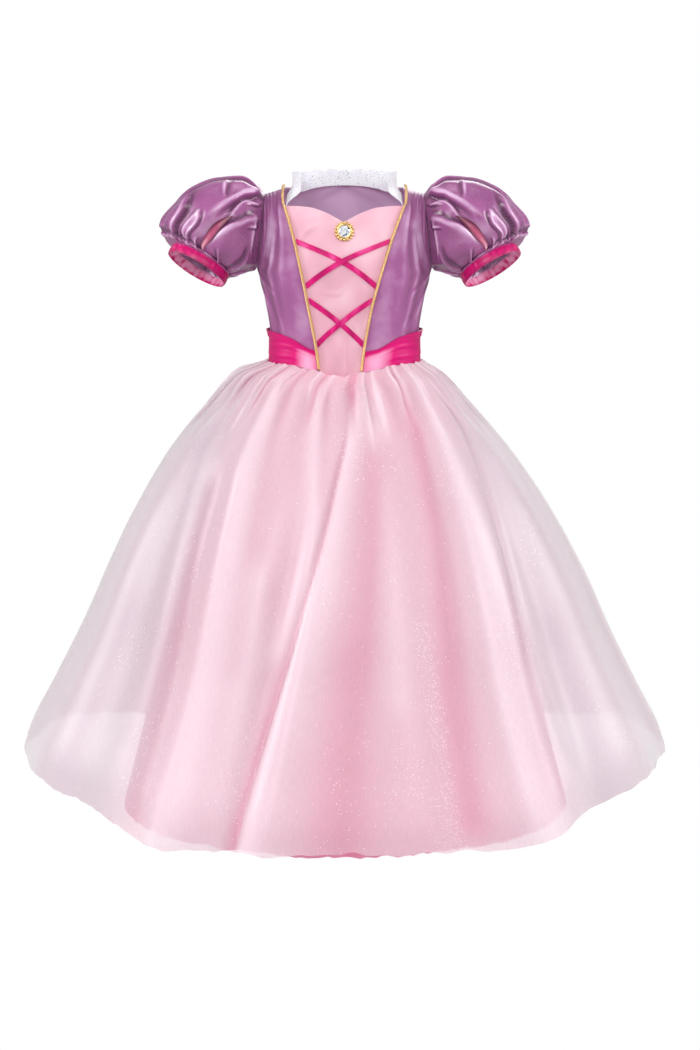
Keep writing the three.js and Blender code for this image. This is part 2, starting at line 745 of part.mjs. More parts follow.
// Ribbons: flat strips laid on the insert from piping to piping, crossing in the middle
function ribbonPoint(ribbon, sign, along, across) {
  const route = [
    { along: 0, height: ribbon.start },
    { along: 0.5, height: ribbon.cross },
    { along: 1, height: ribbon.end },
  ];
  const ahead = read(route, "along", "height", along + SLOPE_STEP);
  const behind = read(route, "along", "height", along - SLOPE_STEP);
  const rise = (ahead - behind) / (2 * SLOPE_STEP);
  const run = 2 * read(INSERT_EDGE, "height", "half", ribbon.cross);
  const half = RIBBON_HALF_WIDTH * Math.hypot(1, rise / run);
  const height = read(route, "along", "height", along) + across * half;
  const edge = read(INSERT_EDGE, "height", "half", height) - PIPING_RADIUS - LAY_GAP;
  const shift = read(INSERT_CENTRE, "height", "shift", height);
  const surface = (x, h) => onTorso("front", x, h);
  const x = shift + sign * mix(-edge, edge, along);
  const limits = { left: -Infinity, right: Infinity, low: -Infinity, high: Infinity };
  const normal = surfaceNormal(surface, x, height, limits);
  const fromCrossing = Math.abs(along - 0.5);
  const over = 1 - smoothStep(RIBBON_CROSSING.from, RIBBON_CROSSING.to, fromCrossing);
  const lift = ribbon.lifted ? RIBBON_LIFT * over : 0;
  return surface(x, height).addScaledVector(normal, LAY_GAP + RIBBON_WALL + lift);
}

function ribbonStrip(ribbon) {
  const sign = ribbon.name.endsWith("right") ? 1 : -1;
  return clothWall({
    point: (along, across) => ribbonPoint(ribbon, sign, along, across),
    columns: spread([0, 1], [RIBBON_STEPS]),
    rows: [-1, 1],
    wall: RIBBON_WALL,
    flipped: sign < 0,
  });
}

// Brooch: a scalloped setting and the stone in it, made around +Z and then laid on the insert
function placeOnInsert(geometry) {
  const surface = (x, h) => onTorso("front", x, h);
  const limits = { left: -Infinity, right: Infinity, low: -Infinity, high: Infinity };
  const normal = surfaceNormal(surface, 0, BROOCH_HEIGHT, limits);
  const seat = surface(0, BROOCH_HEIGHT).addScaledVector(normal, LAY_GAP);
  const turn = new THREE.Quaternion().setFromUnitVectors(new THREE.Vector3(0, 0, 1), normal);
  geometry.applyQuaternion(turn);
  geometry.translate(seat.x, seat.y, seat.z);
  return geometry;
}

function latheAround(profile, segments) {
  const outline = profile.map(({ radius, rise }) => new THREE.Vector2(radius, rise));
  const geometry = new THREE.LatheGeometry(outline, segments);
  geometry.rotateX(QUARTER_TURN);
  return geometry;
}

function broochSetting() {
  const geometry = latheAround(SETTING_PROFILE, 2 * SCALLOPS);
  const place = geometry.getAttribute("position");
  for (let i = 0; i < place.count; i += 1) {
    const radius = Math.hypot(place.getX(i), place.getY(i));
    if (radius > BROOCH_RADIUS - SCALLOP_RIM) {
      const turn = Math.atan2(place.getY(i), place.getX(i));
      const scale = 1 + (SCALLOP_DEPTH * (Math.cos(SCALLOPS * turn) - 1)) / 2;
      place.setXY(i, place.getX(i) * scale, place.getY(i) * scale);
    }
  }
  return placeOnInsert(geometry);
}

function broochStone() {
  return placeOnInsert(latheAround(STONE_PROFILE, STONE_FACETS));
}

// Sleeve: rings between the armhole and the cuff, gathered at both ends and folded between them
function ringPoint(along, turn, radial = 0) {
  const ring = (column) => read(SLEEVE_RINGS, "along", column, along);
  const top = new THREE.Vector3(ring("topX"), 0, ring("topZ"));
  const low = new THREE.Vector3(ring("lowX"), 0, ring("lowZ"));
  const centre = top.clone().add(low).multiplyScalar(0.5);
  centre.y = ring("middle");
  const half = top.distanceTo(low) / 2;
  const up = top.sub(low).normalize();
  const ahead = new THREE.Vector3(up.z, 0, -up.x);
  const lean = ring("lean") * DEGREE;
  const behind = new THREE.Vector3(0, Math.cos(lean), 0).addScaledVector(ahead, Math.sin(lean));
  return centre
    .addScaledVector(up, (half + radial) * Math.cos(turn))
    .addScaledVector(behind, -(ring("depth") + radial) * Math.sin(turn));
}

function hump(distance, left, right) {
  const share = distance < 0 ? -distance / left : distance / right;
  return share >= 2 ? 0 : 0.5 + 0.5 * Math.cos((share * Math.PI) / 2);
}

function turnBetween(from, to) {
  return ((((to - from) % 360) + 540) % 360) - 180;
}

function endGathers(gathers, distance, turn) {
  const fade = Math.max(0, 1 - distance / gathers.reach) * smoothStep(0, gathers.start, distance);
  const phase = gathers.count * turn + gathers.drift * Math.sin(gathers.waves * turn);
  return fade * gathers.depth * Math.cos(phase);
}

function sleeveRelief(along, turn) {
  const degrees = turn / DEGREE;
  const body = Math.sin(Math.PI * along) ** SLEEVE_FULLNESS;
  let relief = endGathers(CAP_GATHERS, along, turn) + endGathers(CUFF_GATHERS, 1 - along, turn);
  SLEEVE_FOLDS.forEach((fold) => {
    const centre = mix(fold.cap, fold.cuff, along);
    const mean = fold.width / 180;
    relief += body * fold.depth * (hump(turnBetween(centre, degrees), fold.width, fold.width) - mean);
  });
  const slash = turnBetween(mix(SLASH.cap, SLASH.cuff, along), degrees);
  const opening = smoothStep(SLASH_OPENING.from, SLASH_OPENING.to, along);
  const open = opening * (1 - smoothStep(SLASH_CLOSING.from, SLASH_CLOSING.to, along));
  return relief - open * SLASH.depth * hump(slash, SLASH.width, SLASH.width);
}

function sleevePoint(turn, along) {
  return ringPoint(along, turn, sleeveRelief(along, turn));
}

function sleeve(sign) {
  return clothWall({
    point: (turn, along) => mirrored(sign, sleevePoint(turn, along)),
    columns: spread([0, FULL_TURN], [SLEEVE_COLUMNS]),
    rows: SLEEVE_ROWS,
    wall: SHEER_WALL,
    wrapped: true,
    flipped: sign < 0,
  });
}

// The pink slash lies on the sleeve and narrows to both of its ends
function slashPoint(sign, across, share) {
  const along = mix(SLASH_START, SLASH_END, share);
  const half = SLASH_HALF_ANGLE * Math.max(SLASH_NARROWEST, Math.sin(Math.PI * share) ** SLASH_TAPER);
  const turn = (mix(SLASH.cap, SLASH.cuff, along) + across * half) * DEGREE;
  const limits = { left: -Infinity, right: Infinity, low: 0, high: 1 };
  const normal = surfaceNormal(sleevePoint, turn, along, limits);
  const place = sleevePoint(turn, along).addScaledVector(normal, SLASH_LIFT);
  return mirrored(sign, place);
}

function slashInset(sign) {
  return clothWall({
    point: (across, share) => slashPoint(sign, across, share),
    columns: [-1, 0, 1],
    rows: spread([0, 1], [10]),
    wall: SHEER_WALL,
    flipped: sign < 0,
  });
}

// Cuff: a plain band beyond the sleeve's end
function cuffPoint(turn, share) {
  const place = ringPoint(1, turn, CUFF_WALL / 2);
  const ring = SLEEVE_RINGS[SLEEVE_RINGS.length - 1];
  const up = new THREE.Vector3(ring.topX - ring.lowX, 0, ring.topZ - ring.lowZ).normalize();
  const lean = ring.lean * DEGREE;
  const axis = new THREE.Vector3(up.z, 0, -up.x).multiplyScalar(Math.cos(lean));
  axis.y = -Math.sin(lean);
  return place.addScaledVector(axis, SEAM_GAP + SHEER_WALL + share * CUFF_WIDTH);
}

function cuff(sign) {
  return clothWall({
    point: (turn, share) => mirrored(sign, cuffPoint(turn, share)),
    columns: spread([0, FULL_TURN], [SLEEVE_COLUMNS]),
    rows: [0, 1],
    wall: CUFF_WALL,
    wrapped: true,
    flipped: sign < 0,
  });
}

// Skirt layers: gathered into the waist seam, with soft folds that deepen towards the hem
function foldRelief(folds, degrees, share) {
  return folds.reduce((sum, fold) => {
    const centre = mix(fold.waist, fold.hem, share ** FOLD_SWEEP);
    const mean = (fold.left + fold.right) / 360;
    return sum + fold.depth * (hump(turnBetween(centre, degrees), fold.left, fold.right) - mean);
  }, 0);
}

function gatherRelief(gathers, turn, drop) {
  const grown = smoothStep(0, gathers.rise, drop);
  const fade = 1 - smoothStep(gathers.rise, gathers.reach, drop);
  const depth = mix(gathers.top, gathers.depth, grown) * fade;
  const phase = GATHER_DRIFTS.reduce(
    (sum, drift) => sum + drift.size * Math.sin(drift.waves * turn + drift.start),
    gathers.count * turn,
  );
  return depth * Math.cos(phase);
}

function skirtPoint(layer, turn, drop) {
  const share = drop / SKIRT_LENGTH;
  const degrees = turn / DEGREE;
  const bend = 2 / mix(SECTION_POWER, 2, Math.min(1, share / ROUND_SHARE));
  const relief =
    gatherRelief(layer.gathers, turn, drop) +
    foldRelief(layer.folds, degrees, share) * smoothStep(FOLD_GROWTH.from, FOLD_GROWTH.to, share);
  const width = read(layer.profile, "drop", "width", drop);
  const depth = width * read(layer.profile, "drop", "share", drop);
  const sine = Math.sin(turn);
  const cosine = Math.cos(turn);
  const x = (width + relief) * Math.sign(sine) * Math.abs(sine) ** bend;
  const y = -(depth + relief) * Math.sign(cosine) * Math.abs(cosine) ** bend;
  const sideways = Math.abs(turnBetween(0, degrees));
  const azimuth = Math.min(sideways, 180 - sideways);
  const hem = read(layer.hem, "azimuth", "height", azimuth);
  const seam = (x * TORSO[1].width) / (width + relief);
  const start = (cosine > 0 ? waistHeight(seam) : WAIST_HEIGHT) - LAY_GAP;
  return new THREE.Vector3(x + read(SWAY, "drop", "shift", drop), y, mix(start, hem, share));
}

function skirt(layer) {
  return clothWall({
    point: (turn, drop) => skirtPoint(layer, turn, drop),
    columns: spread([0, FULL_TURN], [layer.gathers.count * COLUMNS_PER_GATHER]),
    rows: layer.drops,
    wall: SHEER_WALL,
    wrapped: true,
    flipped: true,
  });
}

const overSkirt = {
  profile: OVER_PROFILE,
  gathers: OVER_GATHERS,
  folds: OVER_FOLDS,
  drops: OVER_DROPS,
  hem: OVER_HEM,
};
const underSkirt = {
  profile: UNDER_PROFILE,
  gathers: UNDER_GATHERS,
  folds: UNDER_FOLDS,
  drops: UNDER_DROPS,
  hem: UNDER_HEM,
};

const dress = new THREE.Group();
dress.add(piece("front_insert", frontInsert(), PALE_PINK));
[{ side: "left", sign: 1 }, { side: "right", sign: -1 }].forEach(({ side, sign }) => {
  dress.add(piece(`bodice_front_${side}`, bodiceFront(sign), PURPLE));
  dress.add(piece(`bodice_back_${side}`, bodiceBack(sign), PURPLE));
  dress.add(piece(`sleeve_${side}`, sleeve(sign), PURPLE));
  dress.add(piece(`sleeve_slash_${side}`, slashInset(sign), PALE_PINK));
  dress.add(piece(`cuff_${side}`, cuff(sign), HOT_PINK));
  dress.add(piece(`belt_${side}`, belt(sign), HOT_PINK));
  dress.add(piece(`collar_${side}`, collar(sign), GLITTER_WHITE));
  dress.add(piece(`piping_${side}`, piping(sign), GOLD));
});
RIBBONS.forEach((ribbon) => {
  dress.add(piece(`ribbon_${ribbon.name}`, ribbonStrip(ribbon), HOT_PINK));
});
dress.add(piece("brooch_setting", broochSetting(), GOLD));
dress.add(piece("brooch_stone", broochStone(), CRYSTAL));
dress.add(piece("skirt_under", skirt(underSkirt), SKIRT_PINK));
dress.add(piece("skirt_over", skirt(overSkirt), ORGANZA));

export default dress;
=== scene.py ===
"""Looks of the princess costume dress, laid out as a Blender add-on."""

import itertools
import math

import bpy
import numpy as np
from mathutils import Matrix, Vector


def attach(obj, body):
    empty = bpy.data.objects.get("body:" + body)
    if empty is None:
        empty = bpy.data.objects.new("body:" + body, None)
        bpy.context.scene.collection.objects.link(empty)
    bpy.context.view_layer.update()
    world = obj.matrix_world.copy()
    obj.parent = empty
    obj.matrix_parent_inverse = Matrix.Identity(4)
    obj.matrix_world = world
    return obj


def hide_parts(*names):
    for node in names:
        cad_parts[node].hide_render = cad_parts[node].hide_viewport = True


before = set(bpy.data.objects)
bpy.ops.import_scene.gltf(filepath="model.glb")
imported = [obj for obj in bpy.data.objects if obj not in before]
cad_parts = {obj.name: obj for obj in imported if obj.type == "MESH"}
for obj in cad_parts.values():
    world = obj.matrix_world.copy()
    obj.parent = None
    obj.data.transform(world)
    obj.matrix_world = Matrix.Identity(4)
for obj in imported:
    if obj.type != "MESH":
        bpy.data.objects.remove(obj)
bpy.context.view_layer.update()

bl_info = {
    "name": "Princess costume dress",
    "version": (1, 0, 0),
    "blender": (4, 5, 0),
    "location": "View3D > Sidebar > Dress",
    "description": "Makes the cloth, trims, brooch and studio stage of a princess costume dress",
    "category": "Object",
}

BODY = "root"
MM = 0.001
DEGREE = math.pi / 180
FULL_TURN = 2 * math.pi
QUARTER_TURN = math.pi / 2
SHARP_ANGLE = math.radians(55)


def table(names, *rows):
    """Rows of numbers as one array for each named column."""
    return dict(zip(names.split(), np.array(rows, float).T))


# Cloth walls and clearances, in millimetres as all the tables below
SATIN_WALL = 1.2
SHEER_WALL = 1.0
COLLAR_WALL = 1.0
RIBBON_WALL = 1.0
CUFF_WALL = 1.4
SEAM_GAP = 0.04
LAY_GAP = 0.5

# Each cloth's slot and wall, flat width and height in metres, area in square metres, how it is
# held and what it rests on
CLOTHS = {
    "front_insert": ("pale_satin", SATIN_WALL, (0.175, 0.21), 0.0195, "stretched", "bodice_front_left"),
    "bodice_front": ("purple_satin", SATIN_WALL, (0.13, 0.24), 0.02, "stretched", "belt_left"),
    "bodice_back": ("purple_satin", SATIN_WALL, (0.165, 0.235), 0.032, "stretched", "belt_left"),
    "sleeve": ("purple_satin", SHEER_WALL, (0.5, 0.21), 0.06, "gathered", "bodice_front_{side}"),
    "sleeve_slash": ("pale_satin", SHEER_WALL, (0.012, 0.078), 0.0006, "laid", "sleeve_{side}"),
    "cuff": ("hot_pink_satin", CUFF_WALL, (0.0135, 0.27), 0.0036, "stretched", "sleeve_{side}"),
    "belt": ("hot_pink_satin", SATIN_WALL, (0.045, 0.24), 0.0102, "stretched", "bodice_front_{side}"),
    "collar": ("glitter_mesh", COLLAR_WALL, (0.035, 0.17), 0.0047, "stretched", "bodice_back_{side}"),
    "ribbon_upper": ("hot_pink_satin", RIBBON_WALL, (0.01, 0.12), 0.0009, "laid", "front_insert"),
    "ribbon_lower": ("hot_pink_satin", RIBBON_WALL, (0.01, 0.09), 0.00067, "laid", "front_insert"),
    "skirt_under": ("skirt_satin", SHEER_WALL, (1.9, 0.62), 0.8, "gathered", "belt_left"),
    "skirt_over": ("glitter_organza", SHEER_WALL, (2.5, 0.62), 1.08, "gathered", "belt_left"),
}

# Torso sections and the edges of the bodice
SECTION_POWER = 2.2
TORSO = table(
    "height width front back",
    (-240, 97, 76, 74),
    (-217, 97, 77, 75),
    (-176, 96.5, 78, 75),
    (-137, 102.5, 83, 79),
    (-96, 112, 87, 84),
    (-50, 121, 84, 86),
    (0, 126, 79, 84),
    (40, 128, 76, 80),
)
NECK_POINT = (75, 6)
SHOULDER_TIP = (101.5, -2.6)
ROLL = {"front": 50, "back": 36}
ROLL_END = (0.9, 1.6)
CORNER_HEIGHT = -15
INSERT_EDGE = table(
    "height half",
    (-240, 24),
    (-228, 25.6),
    (-197, 29.6),
    (-146, 38.6),
    (-91, 51.5),
    (-40, 66),
    (CORNER_HEIGHT, 75),
)
INSERT_CENTRE = table(
    "height shift", (-240, -5.2), (-146, -5.4), (-115, -4.4), (-60, -2), (CORNER_HEIGHT, 0)
)
INSERT_TOP = table(
    "across height", (0, -36), (0.14, -30.5), (0.29, -25), (0.58, -17.8), (0.8, -16.5), (1, -16.2)
)
UNDERARM_HEIGHT = -96
ARMHOLE_DEPTH = 46
ARMHOLE_EDGE = table(
    "height x",
    (UNDERARM_HEIGHT, 112),
    (-92, 111.2),
    (-70, 107),
    (-49, 104.3),
    (-31, 102.7),
    (SHOULDER_TIP[1], SHOULDER_TIP[0]),
)
NECK_FRONT = table(
    "along x y z",
    (0, 75, -54.4, CORNER_HEIGHT),
    (0.35, 75.7, -38, -5),
    (0.7, 75.8, -17, 3.5),
    (1, NECK_POINT[0], 0, NECK_POINT[1]),
)
NECK_BACK = table(
    "along x y z",
    (0, 0, 72, 12),
    (0.2, 22, 70.5, 11),
    (0.4, 43, 64, 8),
    (0.55, 57, 53, 5),
    (0.75, 69, 31, 5.5),
    (1, NECK_POINT[0], 0, NECK_POINT[1]),
)
WAIST_HEIGHT = -216.5
WAIST_DIP = 14
WAIST_DIP_REACH = 68
WAIST_DIP_BEND = 1.15
WAIST_BLEND = 0.2
UNDERARM_SHARE = 0.455
CORNER_SHARE = 0.78
BACK_NECK_SHARE = 0.7

# Belt and collar
BELT_TOP = table(
    "x height", (0, -200), (37, -195.7), (65, -182), (84, -176.5), (98, -175)
)
BELT_FLARE = 4.6
BELT_FLARE_STRETCH = (0.66, 1.15)
COLLAR_BACK = table(
    "along below above lean",
    (0, 4, 15, -1.5),
    (0.4, 4, 18.5, 0),
    (0.55, 5, 21, 2),
    (0.75, 9, 20.5, 4),
    (1, 11, 19.5, 6),
)
COLLAR_FRONT = table(
    "along below above lean",
    (0, 1.5, 40, 23),
    (0.35, 6, 30, 17),
    (0.7, 9, 22, 10),
    (1, 11, 19.5, 6),
)
COLLAR_LEAN = (0.03, 0.5)
COLLAR_SIDEWAYS = 0.9

# Piping, ribbons and brooch
PIPING_RADIUS = 1.8
PIPING_REACH = (0.012, 0.985)
PIPING_TURN = (CORNER_SHARE - 0.06, CORNER_SHARE + 0.08)
PIPING_OUTSET = 0.8
RIBBON_HALF_WIDTH = 3.3
RIBBON_LIFT = 1.7
RIBBON_CROSSING = (0.06, 0.22)
RIBBONS = {
    "upper_right": (-60, -84.5, -115, 0),
    "upper_left": (-60, -84.5, -115, 1),
    "lower_right": (-133.5, -162, -189, 0),
    "lower_left": (-133.5, -162, -189, 1),
}
BROOCH_HEIGHT = -47.3
BROOCH_RADIUS = 13
STONE_RADIUS = 7.4
SCALLOPS = 16

# Sleeves
SLEEVE_RINGS = table(
    "along topX topZ lowX lowZ depth middle lean",
    (0, 102, -2.2, 112.4, -96, 46.3, 0, 0),
    (0.07, 112, 8, 116, -97.5, 57, 0, 1),
    (0.2, 133, 19, 122, -100, 67, -1, 3),
    (0.36, 162, 18, 128, -102.5, 71, -4, 6),
    (0.52, 193, 8, 134, -105, 69, -7, 9),
    (0.67, 219, -13, 140, -107, 62, -10, 12),
    (0.82, 236, -38, 145, -107, 52, -11, 15),
    (0.93, 231, -54, 148, -106.5, 44, -12, 18),
    (1, 220, -67.5, 150.5, -109, 39, -12, 19),
)
CUFF_WIDTH = 10
CAP_GATHERS = {"count": 10, "depth": 3.4, "reach": 0.34, "start": 0.08, "waves": 2, "drift": 0.5}
CUFF_GATHERS = {"count": 10, "depth": 3, "reach": 0.42, "start": 0.1, "waves": 3, "drift": 0.6}
SLEEVE_FULLNESS = 0.7
SLEEVE_FOLDS = (
    (28, 44, 13, 4.5),
    (48, 86, 12, 5),
    (78, 118, 13, 5.5),
    (130, 142, 14, 4),
    (176, 182, 14, 2.5),
    (238, 246, 16, 5),
    (288, 300, 14, 6),
    (332, 342, 12, 4.5),
)
SLASH = {"cap": 65, "cuff": 105, "width": 10, "depth": 5, "start": 0.34, "end": 0.86, "half": 6}
SLASH_LIFT = 2.4
SLASH_OPENING = (0.2, 0.45)
SLASH_CLOSING = (0.85, 1)
SLASH_NARROWEST = 0.12
SLASH_TAPER = 0.8

# Skirts
SKIRT_LENGTH = 553
SWAY = table("drop shift", (0, 0), (14, -6.5), (90, -7.5), (190, -4), (320, 0))
GATHER_DRIFTS = ((5, 0.55, 0), (3, 0.7, 1))
FOLD_SWEEP = 0.6
FOLD_GROWTH = (0.03, 0.8)
ROUND_SHARE = 0.25
OVER = {
    "profile": table(
        "drop width share",
        (0, 100.6, 0.8),
        (3, 106.5, 0.8),
        (8, 118, 0.8),
        (14, 129.5, 0.8),
        (25, 141.5, 0.795),
        (50, 163, 0.79),
        (90, 198, 0.785),
        (130, 228, 0.78),
        (210, 276, 0.775),
        (290, 315, 0.77),
        (373, 350, 0.765),
        (455, 389, 0.765),
        (520, 421, 0.765),
        (SKIRT_LENGTH, 431, 0.76),
    ),
    "hem": table(
        "azimuth height",
        (0, -774),
        (18, -776),
        (28, -781),
        (36, -770),
        (43, -756),
        (55, -743),
        (64, -733),
        (90, -731),
    ),
    "gathers": {"count": 36, "depth": 3.6, "top": 0.9, "rise": 18, "reach": 120},
    "folds": (
        (-118, -112, 10, 9, 19),
        (-92, -89, 9, 11, 14),
        (-68, -64, 10, 10, 18),
        (-44, -38, 9, 8, 20),
        (-13, -27, 8, 6, 14),
        (5, -13, 4, 10, 26),
        (20, 11, 9, 9, 18),
        (42, 36, 10, 7, 23),
        (67, 62, 10, 10, 16),
        (90, 89, 11, 9, 14),
        (112, 114, 9, 12, 20),
        (137, 139, 10, 8, 16),
        (158, 163, 8, 11, 22),
        (180, 186, 10, 8, 16),
        (203, 209, 7, 10, 23),
        (224, 230, 9, 8, 18),
    ),
}
UNDER = {
    "profile": table(
        "drop width share",
        (0, 96.4, 0.795),
        (3, 100, 0.8),
        (8, 110.5, 0.795),
        (14, 121.5, 0.79),
        (25, 132.5, 0.785),
        (56, 155, 0.785),
        (120, 174, 0.83),
        (206, 195, 0.89),
        (375, 247, 0.955),
        (SKIRT_LENGTH, 298, 0.985),
    ),
    "hem": table("azimuth height", (0, -789), (30, -791), (60, -800), (90, -808)),
    "gathers": {"count": 24, "depth": 1.8, "top": 0.4, "rise": 18, "reach": 120},
    "folds": (
        (-104, -100, 11, 10, 8),
        (-78, -76, 11, 11, 6),
        (-54, -52, 10, 11, 9),
        (-28, -30, 11, 9, 8),
        (-4, -9, 9, 12, 9),
        (20, 14, 11, 9, 7),
        (43, 37, 10, 11, 9),
        (68, 61, 12, 9, 7),
        (92, 86, 10, 12, 7),
        (117, 112, 12, 10, 9),
        (143, 140, 10, 12, 7),
        (168, 168, 12, 10, 9),
        (196, 198, 11, 12, 7),
        (225, 230, 12, 11, 8),
    ),
}

# Section of a laid crease, all as shares of its width: how wide its crisp side is, and where its
# trough, its crest with a painted highlight and its hollow with painted shade lie, how wide each is
# and how strong
CREASE_STEPS = 15
CRISP_SHARE = 0.42
TROUGH = (0.95, 0.55, 0.55)
CREST_HIGHLIGHT = (-0.35, 0.5, 0.8)
HOLLOW_SHADE = (0.75, 0.42, 1)
CREASE_TAPER = (0.1, 0.93)
CREASE_FULLNESS = 0.7

# Creases, listed one by one. Each row is a curve through three places of the cloth, then the width and
# depth of its ridge in millimetres. The ridge's crisp side is on the curve's right, or on its left
# where the width is negative.
# Each crease also takes a painted highlight on its crest and painted shade in its hollow
INSERT_CREASES = (
    (-0.7, 0.16, -0.45, 0.24, -0.2, 0.3, 3, 0.5),
    (0.75, 0.2, 0.5, 0.27, 0.3, 0.33, 3, 0.5),
    (-0.5, 0.5, -0.2, 0.52, 0.1, 0.57, 4, 0.4),
    (0.85, 0.55, 0.6, 0.6, 0.35, 0.66, 4, 0.45),
    (-0.9, 0.8, -0.7, 0.86, -0.5, 0.9, 4, 0.4),
    (0.3, 0.02, 0.26, 0.1, 0.25, 0.2, 3, 0.5),
)
FRONT_CREASES = (
    (0.9, 0.99, 0.78, 0.9, 0.72, 0.8, 2.4, 1.1),
    (0.72, 0.99, 0.62, 0.9, 0.57, 0.82, 2.2, 1),
    (0.52, 0.99, 0.46, 0.92, 0.44, 0.86, 2, 0.8),
    (0.98, 0.88, 0.88, 0.78, 0.82, 0.66, 2.6, 1.1),
    (0.98, 0.5, 0.75, 0.42, 0.5, 0.36, 4, 1),
    (0.96, 0.4, 0.72, 0.3, 0.55, 0.18, 5, 1),
    (0.24, 0.86, 0.3, 0.6, 0.36, 0.25, -7, 0.8),
    (0.76, 0.6, 0.7, 0.35, 0.66, 0.06, 8, 0.8),
    (0.9, 0.3, 0.84, 0.16, 0.76, 0.02, 4, 0.9),
    (0.5, 0.66, 0.52, 0.4, 0.48, 0.1, -6, 0.5),
)
BACK_CREASES = (
    (0.92, 0.99, 0.84, 0.9, 0.78, 0.82, 2.4, 1),
    (0.74, 0.99, 0.67, 0.9, 0.63, 0.84, 2.2, 0.9),
    (0.98, 0.52, 0.75, 0.45, 0.5, 0.4, 4, 1),
    (0.96, 0.42, 0.75, 0.3, 0.55, 0.18, 5, 0.9),
    (0.35, 0.7, 0.38, 0.4, 0.4, 0.1, -7, 1.4),
    (0.1, 0.62, 0.12, 0.45, 0.14, 0.3, 3, 0.6),
    (0.72, 0.62, 0.66, 0.35, 0.62, 0.06, 8, 1.3),
)
BELT_CREASES = (
    (0.05, 0.66, 0.4, 0.62, 0.75, 0.5, 3.2, 0.9),
    (0.25, 0.3, 0.6, 0.24, 1.05, 0.28, 3, 0.8),
    (0.6, 0.8, 0.95, 0.8, 1.3, 0.74, 2.6, 0.7),
    (1.1, 0.45, 1.5, 0.5, 1.9, 0.52, 3, 0.8),
    (1.35, 0.2, 1.65, 0.2, 1.95, 0.26, 2.6, 0.6),
)
SLEEVE_SPAN = (1.1, 150)
SLEEVE_CREASES = (
    (31, 0.6, 46, 0.74, 40, 0.99, 7, 4.4),
    (24, 0.84, 8, 0.92, 350, 0.98, 4, 2.6),
    (59, 0.6, 62, 0.74, 66, 0.93, -4.5, 3.4),
    (60, 0.6, 72, 0.72, 69, 0.98, 3.6, 3),
    (22, 0.3, 38, 0.33, 52, 0.36, 4, 2.6),
    (22, 0.03, 48, 0.16, 70, 0.48, 6.5, 5.2),
    (52, 0.04, 62, 0.22, 82, 0.4, -3.6, 2.4),
    (71, 0.06, 88, 0.34, 97, 0.97, -6.5, 5),
    (46, 0.02, 56, 0.07, 62, 0.15, 3, 2),
    (76, 0.05, 101, 0.1, 136, 0.16, 4.5, 3),
    (84, 0.04, 90, 0.1, 93, 0.17, 3, 2),
    (124, 0.2, 140, 0.46, 147, 0.93, -6, 3.4),
    (146, 0.5, 156, 0.7, 161, 0.96, 3.6, 2.6),
    (110, 0.72, 122, 0.84, 128, 0.98, -3.6, 2.4),
    (84, 0.8, 84, 0.9, 84, 0.99, 3, 2),
    (56, 0.84, 55, 0.92, 54, 0.99, 3, 1.8),
    (12, 0.06, 4, 0.3, 14, 0.6, 6, 3.6),
    (345, 0.06, 352, 0.3, 350, 0.6, 5.5, 3.4),
    (322, 0.1, 330, 0.35, 330, 0.62, -5, 3.2),
    (300, 0.3, 308, 0.6, 304, 0.97, 6, 4.2),
    (278, 0.04, 268, 0.3, 270, 0.5, 5, 3.6),
    (262, 0.45, 252, 0.7, 256, 0.98, -5, 3.4),
    (242, 0.05, 236, 0.26, 234, 0.48, 5, 3.2),
    (222, 0.4, 230, 0.7, 226, 0.98, 4.5, 2.8),
    (202, 0.08, 194, 0.34, 196, 0.6, -4.5, 2.4),
    (172, 0.3, 168, 0.6, 174, 0.97, 4.5, 2.4),
)

# Broad bands on the skirts, each a raised ridge with a painted highlight or a sunken valley with
# painted shade. Each row gives where a band starts and ends down the cloth, its turn in degrees at
# its start, middle and end, its width to either side in degrees and its lightness, which also sets
# its height.
SKIRT_BANDS = (
    (-20, 590, -36, -31, -32, 1.5, 6.5, 0.5),
    (110, 590, -42, -37.5, -36.5, 5, 1.6, -0.4),
    (60, 560, -58, -47, -43, 8, 3, -0.2),
    (20, 590, -63, -60, -58, 6, 10, 0.16),
    (0, 380, -26, -24, -23, 3, 3, -0.16),
    (-10, 360, -11, -8, -16, 3.2, 2, 0.42),
    (200, 590, -22, -20, -23, 4, 3, 0.3),
    (40, 620, 5, -11.5, -19.5, 1.3, 0.6, -0.6),
    (0, 620, 8, -9.5, -17, 0.9, 4.5, 0.5),
    (60, 590, 16, 3, 0, 6, 4, -0.4),
    (0, 420, 17, 12, 10, 3, 3, 0.22),
    (30, 560, 33, 24.5, 23, 4, 2.4, -0.5),
    (-20, 590, 47, 34, 35, 2.6, 4.6, 0.5),
    (20, 600, 60, 42, 42.5, 2.2, 2, -0.42),
    (60, 500, 53, 46, 47, 1.2, 4, 0.2),
    (0, 590, 70, 62, 60, 9, 8, 0.14),
    (40, 590, 84, 80, 79, 6, 3, -0.2),
    (-20, 590, 98, 96, 97, 2, 6, 0.4),
    (60, 590, 117, 118, 120, 5, 2, -0.4),
    (-10, 480, 132, 127, 126, 2, 4, 0.45),
    (40, 590, 146, 143, 144, 1.2, 0.7, -0.6),
    (0, 590, 149, 147, 149, 1, 5, 0.45),
    (-20, 560, 168, 166, 167, 5, 3, -0.35),
    (20, 590, 180, 184, 186, 2, 5, 0.45),
    (60, 590, 198, 202, 203, 4, 2, -0.5),
    (-20, 590, 212, 214, 213, 2, 5, 0.45),
    (30, 560, 232, 229, 228, 4, 2, -0.4),
    (0, 590, 246, 245, 246, 3, 6, 0.35),
    (80, 590, 263, 262, 263, 5, 3, -0.25),
)
BAND_FADE = 45
BAND_HEIGHT = 6
TUCK_HEIGHT = 5
WAIST_TUCKS = {"count": 58, "longest": 105, "lean": 5, "width": (0.5, 1.6), "light": 0.72}
WAIST_SEED = 41

